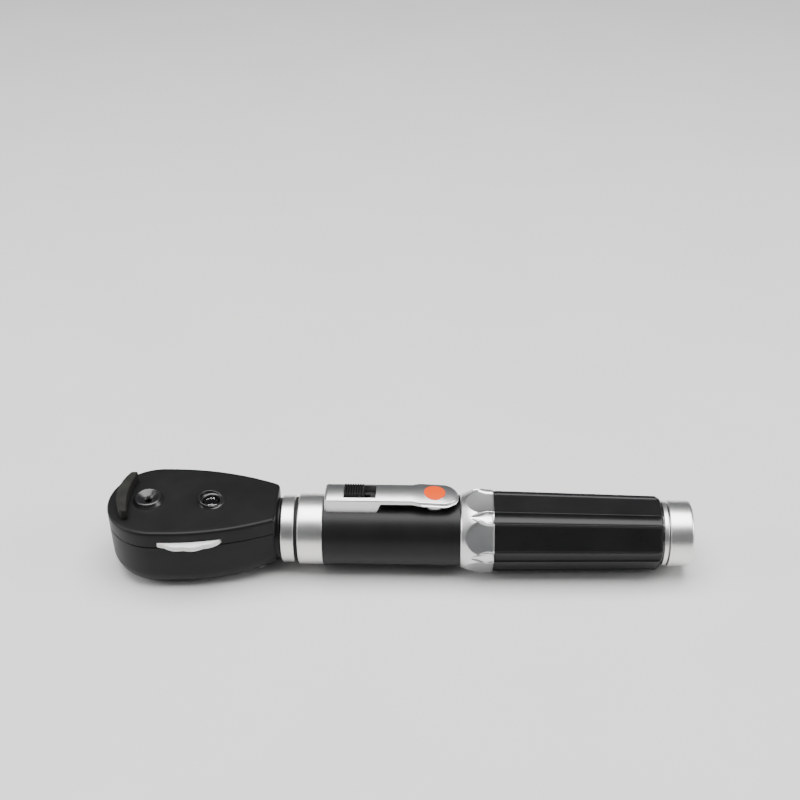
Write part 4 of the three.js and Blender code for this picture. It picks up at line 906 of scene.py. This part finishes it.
# Cuts in the back, in mm: a thumb scoop with the aperture wheel's slot, the window's seat, two screw heads.
SCOOP_RADIUS, SCOOP_HALF, SCOOP_DEPTH = 12, 6, 1.2
WHEEL_SLOT_HALF = (1.0, 5.9)
WINDOW_LEDGE = 0.8
SCREW_SEAT_RADIUS, SCREW_SEAT_DEPTH = 1.85, 1.15
wheel_x = middle("aperture_wheel", X)
scoop_corners = [
    (0, -SCOOP_HALF, 0),
    (SCOOP_RADIUS, -SCOOP_HALF, 1.2),
    (SCOOP_RADIUS, SCOOP_HALF, 1.2),
    (0, SCOOP_HALF, 0),
]
scoop_line = carried_round(softened(scoop_corners, False), "x", (0, 0, 0))
scoop_points = scoop_line[..., [1, 0, 2]] + np.array([wheel_x, 0, -SCOOP_RADIUS * MM + SCOOP_DEPTH * MM])
scoop = put_mesh("scoop", scoop_points, cells(*scoop_points.shape[:2], round_u=True))
along_half, across_half = (half * MM for half in WHEEL_SLOT_HALF)
wheel_slot = block((wheel_x - along_half, -across_half, -MM), (wheel_x + along_half, across_half, 2.5 * MM))
window_x, window_top = middle("patient_window", X), span("patient_window", Z)[1] / MM
window_radius = (span("patient_window", Y)[1] + SEAM * MM) / MM
cutters = [
    scoop,
    wheel_slot,
    drill(window_x, 0, window_radius, -1, window_top + SEAM),
    drill(window_x, 0, window_radius - WINDOW_LEDGE, -1, 3),
]
for node in ("screw_nose", "screw_neck"):
    seat_top = span(node, Z)[0] / MM + SCREW_SEAT_DEPTH
    cutters.append(drill(middle(node, X), middle(node, Y), SCREW_SEAT_RADIUS, -1, seat_top))
carve(housing, cutters, SHELL_CREASE)
hand_over(housing, shell_black, "black_plastic", "head", "rear_housing")

# %% Neck
# A collar fills the gap before the union ring, and a stem with a flange holds the ring on.
nut_start = span("union_nut", X)[0] / MM
flange_stop = ferrule_start - 0.3
neck_corners = [
    (4.9, head_end / MM - 1.0, 0.1),
    (9.2, head_end / MM - 1.0, 0.1),
    (9.9, head_end / MM + 0.3, 0.25),
    (9.9, nut_start - 0.3, 0.25),
    (7.7, nut_start - 0.3, 0.1),
    (7.7, nut_start + 1.1, 0.1),
    (8.9, nut_start + 1.1, 0.1),
    (8.9, flange_stop, 0.2),
    (4.9, flange_stop, 0.1),
]
neck = handle_piece("head_neck", neck_corners)
hand_over(neck, shell_black, "black_plastic", "head", "rear_housing")

# %% [markdown]
# ## Clip, switch and badge
#
# The real clip is one pressed sheet: a box that covers the switch, a springy arm and a paddle. The mechanical
# model splits it where it bends, so here one continuous sheet stands for both nodes; it stays fixed in place
# and is not blended between the two bodies. The slot for the switch is cells left out of the grid.

# %% Bars with a rounded section


def bar(name, centre, wide, high, power=2.6, steps=48):
    """Sections round a line of centres: wide·cos and high·sin of a turn, squared up by a power above 2."""
    turn = np.linspace(0, 2 * np.pi, steps, endpoint=False)
    squared = 2 / power
    across = np.sign(np.cos(turn)) * np.abs(np.cos(turn)) ** squared
    over = np.sign(np.sin(turn)) * np.abs(np.sin(turn)) ** squared
    rings = centre[:, None] + wide[:, None] * across[None, :, None] + high[:, None] * over[None, :, None]
    first = rings.mean(axis=1)[:1, None] + 0 * rings[:1]
    closed = np.concatenate([first, rings, centre[-1:, None] + 0 * rings[:1]])
    return put_mesh(name, closed, cells(*closed.shape[:2], round_v=True))


def along(axis, size):
    """Vectors of the given sizes along X, Y or Z."""
    return np.asarray(size)[:, None] * np.eye(3)[axis][None]


print("bar helper ready")

# %% Clip
SHEET = 0.85 * MM
CLIP_CROWN = 0.5 * MM
CLIP_BEND = 0.5 * MM
CLIP_DROP = 0.5 * MM
ARM_DEPTH = 2.0 * MM
clip_start = span("clip_base", X)[0]
clip_half = span("clip_base", Y)[1]
clip_top = span("clip_base", Z)[1]
paddle_half = span("clip_arm", Y)[1]
paddle_centre = span("clip_arm", X)[1] - paddle_half
arm_start = span("clip_arm", X)[0]
slot_start = span("switch_slider", X)[0] - 0.15 * MM
slot_stop = span("switch_slider", X)[1] + 3.75 * MM
slot_half = span("switch_slider", Y)[1] + 0.15 * MM
barrel_top = axis_z + barrel_radius
clip_low = axis_z + math.sqrt(barrel_radius**2 - clip_half**2) + 0.05 * MM
clip_x = stations(
    (clip_start, 14),
    (clip_start + 1.3 * MM, 8),
    (slot_start, 20),
    (slot_stop, 24),
    (arm_start + 1.2 * MM, 16),
    (5 * MM, 30),
    (paddle_centre, 1),
)
TIP_STEPS = 40
RIM_IN = 0.4 * MM
RIM_BANDS = np.array([[0.5, 0.0], [0.0, 0.13], [0.0, 0.4], [0.5, 0.5], [1.5, 0.54], [1.6, 0.7], [1.05, 0.8]])


def clip_grid(depth):
    """The sheet's outside, or its inside at a depth: side wall with its rim, a small bend, then the top."""
    near_end = smooth((clip_start + 2 * MM - clip_x) / (2 * MM))
    x = clip_x + depth * near_end
    half = clip_half + (paddle_half - clip_half) * smooth((x - 4 * MM) / (4 * MM)) - depth
    turn = np.linspace(np.pi / 2, 0, TIP_STEPS + 1)[1:]
    tip_half = paddle_half - depth
    tip = np.stack([paddle_centre + tip_half * np.cos(turn), tip_half * np.sin(turn)], axis=1)
    edge = np.concatenate([np.stack([x, half], axis=1), tip])
    spine_x = np.concatenate([x, np.full(TIP_STEPS, paddle_centre)])
    spine = np.stack([spine_x, np.zeros(len(spine_x))], axis=1)
    top = clip_top - CLIP_DROP * smooth((edge[:, 0] - 5 * MM) / (13 * MM))
    low = clip_low + (top - ARM_DEPTH - clip_low) * smooth((edge[:, 0] - arm_start + 0.9 * MM) / (1.7 * MM))
    drop = round_off(spine_x - clip_start - depth, 1.1 * MM - 0.7 * depth)
    rim = smooth((edge[:, 0] - 5.5 * MM) / (3 * MM))
    bend = CLIP_BEND - 0.6 * depth
    turn = np.linspace(0, np.pi / 2, 8)
    inner_slot = 1 - slot_half / (clip_half - depth - bend)
    wall_share = np.zeros(len(RIM_BANDS) + len(turn))
    share = np.concatenate([wall_share, np.linspace(0, inner_slot, 4)[1:], np.linspace(inner_slot, 1, 8)[1:]])
    shoulder = top - CLIP_CROWN - depth - bend
    step_in = rim[:, None] * RIM_IN * (1 if depth == 0 else 0)
    rows_in = RIM_BANDS[None, :, 0] * step_in
    rows_z = low[:, None] + (shoulder - low)[:, None] * RIM_BANDS[None, :, 1] / RIM_BANDS[-1, 1] * 0.98
    bend_in = bend * (1 - np.cos(turn))[None] + step_in
    bend_z = shoulder[:, None] + bend * np.sin(turn)[None]
    top_share = share[len(wall_share):]
    top_in = bend + step_in + 0 * top_share[None]
    top_z = (top - depth)[:, None] - CLIP_CROWN * ((1 - top_share) ** 2)[None]
    inset = np.concatenate([rows_in, bend_in, top_in], axis=1)
    height = np.concatenate([rows_z, bend_z, top_z], axis=1)
    lowered = np.clip((height - low[:, None]) / (top - depth - low)[:, None], 0, 1) ** 2
    grid = over_plan(edge, spine, inset + drop[:, None] * 0.6, height - drop[:, None] * lowered, share)
    point = np.array([grid[0, 0, 0], 0, barrel_top + 0.05 * MM])
    return np.concatenate([np.broadcast_to(point, (1,) + grid.shape[1:]), grid, grid[-1:] * 0 + point])


outer, inner = clip_grid(0), clip_grid(SHEET)
keep = np.ones((outer.shape[0] - 1, outer.shape[1] - 1), bool)
column_x = (outer[:-1, 5, 0] + outer[1:, 5, 0]) / 2
slot_row = len(RIM_BANDS) + 8 + 2
keep[(column_x > slot_start) & (column_x < slot_stop), slot_row:] = False
clip = walled("clip_sheet", outer, inner, keep)
paint(clip, clip_metal)
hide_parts("clip_base", "clip_arm")
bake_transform(clip)
print("clip:", len(clip.data.polygons), "faces")

# %% Nub under the paddle
# The nub closes the gap to the barrel, so that a pocket's cloth is gripped.
nub_x = middle("badge_disc", X)
nub_low = span("clip_arm", Z)[0]
NUB_HALF = 4.7 * MM
nub_y = np.linspace(-1, 1, 33) * NUB_HALF
nub_high = (clip_top - ARM_DEPTH + 0.5 * MM - nub_low) / 2
end_size = 1 - round_off(NUB_HALF - np.abs(nub_y), 1.2 * MM, 0.4)
nub_centre = np.stack([nub_x + 0 * nub_y, nub_y, nub_low + nub_high * (2 - end_size)], axis=1)
nub = bar("clip_nub", nub_centre, along(X, 2.45 * MM * end_size), along(Z, nub_high * end_size))
hand_over(nub, clip_metal, "satin_metal", "clip_arm", "clip_arm")

# %% Badge
# A plain round inlay. Its heights are measured from the paddle's own surface, which falls to the tip and sides.


def paddle_height(x, y):
    """Height of the clip's top: it drops towards the tip, and falls from the middle with the square of y."""
    half = paddle_half - CLIP_BEND - RIM_IN
    return clip_top - CLIP_DROP * smooth((x - 5 * MM) / (13 * MM)) - CLIP_CROWN * (y / half) ** 2


badge_radius = span("badge_disc", Y)[1] / MM
badge_line = softened([(0, -0.5, 0), (badge_radius, -0.5, 0.1), (badge_radius, 0.12, 0.1), (0, 0.16, 0)], False)
badge_points = carried_round(badge_line, "z", (middle("badge_disc", X), 0, 0))
badge_points[..., 2] += paddle_height(badge_points[..., 0], badge_points[..., 1])
badge = put_mesh("badge_inlay", badge_points, cells(*badge_points.shape[:2], round_u=True))
hand_over(badge, badge_orange, "orange_enamel", "clip_arm", "badge_disc")

# %% Switch button
# Eight rounded ribs are a height that follows the square root of a sine, so the valleys stay narrow.
BUTTON_RIBS = 8
RIB_DEPTH = 0.55 * MM
slider_start, slider_stop = span("switch_slider", X)
slider_top = span("switch_slider", Z)[1]
button_x = np.linspace(slider_start, slider_stop, 22 * BUTTON_RIBS + 1)
rib = np.abs(np.sin(np.pi * BUTTON_RIBS * (button_x - slider_start) / (slider_stop - slider_start))) ** 0.5
button_low = span("switch_guide", Z)[1] + 0.05 * MM
button_top = slider_top - RIB_DEPTH * (1 - rib)
button_half = span("switch_slider", Y)[1] - 0.12 * MM * (1 - rib)
button_centre = np.stack([button_x, 0 * button_x, (button_low + button_top) / 2], axis=1)
button_high = along(Z, (button_top - button_low) / 2)
button = bar("switch_button", button_centre, along(Y, button_half), button_high, 6.0, 72)
hand_over(button, barrel_black, "black_gloss", "switch_slider", "switch_slider")

# %% [markdown]
# ## On the face: eyepiece, dial window and brow rest
#
# The eyepiece is a lathe profile with a funnel down to the sight hole. The dial window's ring starts as a
# lathe piece too, and then every height above the face is multiplied by a factor that falls from the nose
# side to the neck side, which slants its top. The brow rest is a bar that is bent along the nose.

# %% Eyepiece
face = face_z / MM
eyepiece = face_piece("eyepiece", [
    (1.0, face - 1.6, 0.1),
    (3.45, face - 1.6, 0.1),
    (3.45, face + 0.05, 0.03),
    (5.0, face + 0.05, 0.12),
    (4.55, face + 0.5, 0.25),
    (4.15, face + 1.22, 0.2),
    (3.75, face + 1.4, 0.15),
    (3.45, face + 1.3, 0.25),
    (1.5, face + 0.1, 0.5),
    (1.0, face - 0.5, 0.25),
], sight_x)
hand_over(eyepiece, ring_black, "black_gloss", "head", "eyepiece_ring")

# %% Dial window
bezel_high = span("dial_bezel", Z)[1] / MM
bezel_radius = span("dial_bezel", Y)[1] / MM
bezel_line = softened([
    (2.72, face - 1.4, 0.1),
    (3.25, face - 1.4, 0.1),
    (3.25, face + 0.05, 0.03),
    (bezel_radius, face + 0.05, 0.12),
    (bezel_radius - 0.35, face + 0.6, 0.25),
    (bezel_radius - 0.5, bezel_high, 0.22),
    (bezel_radius - 0.95, bezel_high, 0.18),
    (bezel_radius - 1.15, face + 0.45, 0.3),
    (2.72, face + 0.1, 0.2),
])
bezel_points = carried_round(bezel_line, "z", (dial_x, 0, 0))
slant = 1 - 0.86 * smooth(((bezel_points[..., 0] - dial_x) / (bezel_radius * MM) + 1.15) / 2.3)
above = np.maximum(bezel_points[..., 2] - (face_z + 0.12 * MM), 0)
bezel_points[..., 2] -= above * (1 - slant)
bezel = put_mesh("dial_ring", bezel_points, cells(*bezel_points.shape[:2], round_u=True, round_v=True))
hand_over(bezel, ring_black, "black_gloss", "head", "dial_bezel")

glass_low, glass_top = (value / MM for value in span("dial_magnifier", Z))
glass_radius = span("dial_magnifier", Y)[1] / MM
magnifier = face_piece("magnifier", [
    (0, glass_low, 0),
    (glass_radius, glass_low, 0.05),
    (glass_radius, glass_low + 0.4, 0.05),
    (glass_radius * 0.62, glass_top - 0.1, 0.9),
    (0, glass_top, 0),
], dial_x, closed=False)
hand_over(magnifier, lens_glass, "glass", "head", "dial_magnifier")

# %% Brow rest
REST_OUTER, REST_INNER = 18.5 * MM, 35 * MM
REST_THICK = 3.6 * MM
rest_x, rest_y, rest_z = (span("brow_rest", axis) for axis in (X, Y, Z))
rest_steps = rest_y[1] * np.sin(np.linspace(-np.pi / 2, np.pi / 2, 61))
rest_front = rest_x[0] + REST_OUTER - np.sqrt(REST_OUTER**2 - rest_steps**2)
rest_back = rest_x[0] + REST_THICK + REST_INNER - np.sqrt(REST_INNER**2 - rest_steps**2)
rest_end = 1 - round_off(rest_y[1] - np.abs(rest_steps), 1.0 * MM, 0.5)
rest_high = (rest_z[1] - rest_z[0]) / 2 * (1 - round_off(rest_y[1] - np.abs(rest_steps), 0.4 * MM, 0.12))
rest_centre = np.stack([(rest_front + rest_back) / 2, rest_steps, rest_z[0] + rest_high], axis=1)
rest_deep = along(X, (rest_back - rest_front) / 2 * rest_end)
rest = bar("brow_bar", rest_centre, rest_deep, along(Z, rest_high), 9.0, 96)
hand_over(rest, brow_rubber, "rubber", "head", "brow_rest")

# %% [markdown]
# ## Lens disc
#
# The disc's rim has 18 finger lobes. Its radius is the full one less a depth times 1 - |cos 9θ|, which gives
# round lobes and sharp valleys. The depth fades towards the middle, so only the rim is scalloped. The
# numbers of the lenses are printed near the axle and pass under the dial window as the disc turns.

# %% Lens disc
LOBES = 18
LOBE_DEPTH = 0.45
LOBE_STEPS = 20
LENS_CIRCLE = 13.5
LENS_HOLE = 1.75
disc_low, disc_high = (value / MM for value in span("lens_disc", Z))
disc_out = disc_radius / MM - 0.05
disc_line = softened([
    (2.2, disc_low, 0.1),
    (disc_out, disc_low, 0.35),
    (disc_out, disc_high, 0.35),
    (2.2, disc_high, 0.1),
])
disc_points = carried_round(disc_line, "z", (0, 0, 0), LOBES * LOBE_STEPS)
disc_turn = np.arctan2(disc_points[..., 1], disc_points[..., 0])
disc_reach = np.hypot(disc_points[..., 0], disc_points[..., 1])
near_rim = smooth((disc_reach / MM - (disc_out - 1.6)) / 1.2)
lobe = 1 - LOBE_DEPTH * MM * (1 - np.abs(np.cos(LOBES / 2 * disc_turn))) * near_rim / np.maximum(disc_reach, MM)
disc_points[..., :2] *= lobe[..., None]
disc_points[..., 0] += disc_x
disc = put_mesh("lens_wheel", disc_points, cells(*disc_points.shape[:2], round_u=True, round_v=True))
lens_x = LENS_CIRCLE * np.cos(2 * np.pi * np.arange(LOBES) / LOBES) * MM + disc_x
lens_y = LENS_CIRCLE * np.sin(2 * np.pi * np.arange(LOBES) / LOBES) * MM
carve(disc, [drill(x, y, LENS_HOLE, disc_low - 1, disc_high + 1) for x, y in zip(lens_x, lens_y)])
hand_over(disc, disc_pale, "pale_plastic", "lens_disc", "lens_disc")

# %% Numbers on the lens disc
# They are pale on a dark printed band, so only one number at a time shows in the dark window.
NUMBER_CIRCLE = (dial_x - disc_x) / MM
BAND_HEIGHT = 0.04
band_in, band_out = NUMBER_CIRCLE - 2.3, NUMBER_CIRCLE + 2.6
number_band = turned("number_band", [
    (band_in, disc_high - 0.02, 0),
    (band_out, disc_high - 0.02, 0),
    (band_out, disc_high + BAND_HEIGHT, 0.01),
    (band_in, disc_high + BAND_HEIGHT, 0.01),
], "z", (disc_x, 0, 0))
paint(number_band, ring_black)
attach(number_band, "lens_disc")
numbers = bmesh.new()
for place in range(LOBES):
    letters = bpy.data.curves.new("number", "FONT")
    letters.body = str(place if place <= LOBES // 2 else LOBES - place)
    letters.size, letters.extrude = 1.9 * MM, 0.02 * MM
    letters.align_x, letters.align_y = "CENTER", "CENTER"
    holder = bpy.data.objects.new("number", letters)
    shape = bpy.data.meshes.new_from_object(holder)
    turn = 2 * math.pi * place / LOBES
    out = Vector((disc_x + NUMBER_CIRCLE * MM * math.cos(turn), NUMBER_CIRCLE * MM * math.sin(turn), 0))
    out.z = disc_high * MM + BAND_HEIGHT * MM
    shape.transform(Matrix.Translation(out) @ Matrix.Rotation(turn - math.pi / 2, 4, "Z"))
    numbers.from_mesh(shape)
    bpy.data.objects.remove(holder)
number_mesh = bpy.data.meshes.new("disc_numbers")
numbers.to_mesh(number_mesh)
numbers.free()
number_piece = bpy.data.objects.new("disc_numbers", number_mesh)
bpy.context.scene.collection.objects.link(number_piece)
paint(number_piece, disc_pale)
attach(number_piece, "lens_disc")
print("numbers:", len(number_mesh.polygons), "faces")

# %% [markdown]
# ## Finishes of the parts inside
#
# The battery tube, the cells, the springs, the lenses and the lamp keep their own shape from the mechanical
# model. They are mostly hidden, but they still get a real finish each, because they show when the instrument
# is opened.

# %% Finishes of the parts inside
disc_lenses = tuple(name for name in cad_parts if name.startswith(("lens_0", "lens_1")))
INSIDE = {
    brass_metal: ("contact_pin", "switch_contact", "tail_contact_plate", "lamp_base"),
    steel_metal: (
        "battery_tube", "tail_spring", "screw_nose", "screw_neck", "disc_axle", "detent_spring", "aperture_axle",
    ),
    wrap: ("battery_front", "battery_rear"),
    disc_pale: ("contact_insulator",),
    inner_black: ("switch_guide", "optics_carrier", "aperture_wheel"),
    window_glass: ("patient_window", "lamp_bulb"),
    silver: ("mirror",),
    lens_glass: disc_lenses + ("condenser_lens", "objective_lens"),
}
painted = set()
for finish, names in INSIDE.items():
    for name in names:
        kept = bpy.data.objects.get(name)
        if kept:
            paint(kept, finish)
            painted.add(name)
print("painted", len(painted), "nodes")

# %% [markdown]
# ## Floor and light
#
# A pale, slightly mottled floor and a soft studio: a large area light overhead draws the long bright bands
# along the barrel and the rings, one at each end lights the cap and the nose, and the dim world fills the
# dark sides. The floor lies a hair below the instrument, so that no two surfaces share a place.

# %% Floor
FLOOR_HALF = 1.2
FLOOR_Z = -0.02 * MM
floor_corners = [[[-1, -1], [-1, 1]], [[1, -1], [1, 1]]]
floor_points = np.pad(np.array(floor_corners) * FLOOR_HALF, ((0, 0), (0, 0), (0, 1)), constant_values=FLOOR_Z)
floor = put_mesh("floor", floor_points, cells(2, 2))
board = Finish("floor_board")
mottle = board.noise(60.0, detail=4.0)
board.feed(
    Base_Color=board.between(mottle, (0.60, 0.60, 0.59, 1), (0.66, 0.66, 0.65, 1)),
    Roughness=0.55 + 0.1 * board.noise(0.8),
)
paint(floor, board)

# %% Lights


def softbox(name, place, target, size, power):
    """A square area light at a place, aimed at a target; power in watts."""
    data = bpy.data.lights.new(name, "AREA")
    data.shape, data.size, data.size_y, data.energy = "RECTANGLE", size[0], size[1], power
    light = bpy.data.objects.new(name, data)
    light.location = place
    light.rotation_euler = (Vector(target) - Vector(place)).to_track_quat("-Z", "Y").to_euler()
    bpy.context.scene.collection.objects.link(light)
    return light


softbox("overhead", (0.0, 0.03, 0.85), (0, 0, 0), (0.95, 0.7), 20.0)
for side in (-1, 1):
    softbox("side", (side * 0.75, -0.1, 0.4), (0, 0, 0.02), (0.4, 0.4), 4.0)
world = bpy.data.worlds.new("studio")
bpy.context.scene.world = world
world.use_nodes = True
sky = world.node_tree.nodes["Background"].inputs
sky["Color"].default_value = (0.9, 0.95, 1.0, 1)
sky["Strength"].default_value = 0.12
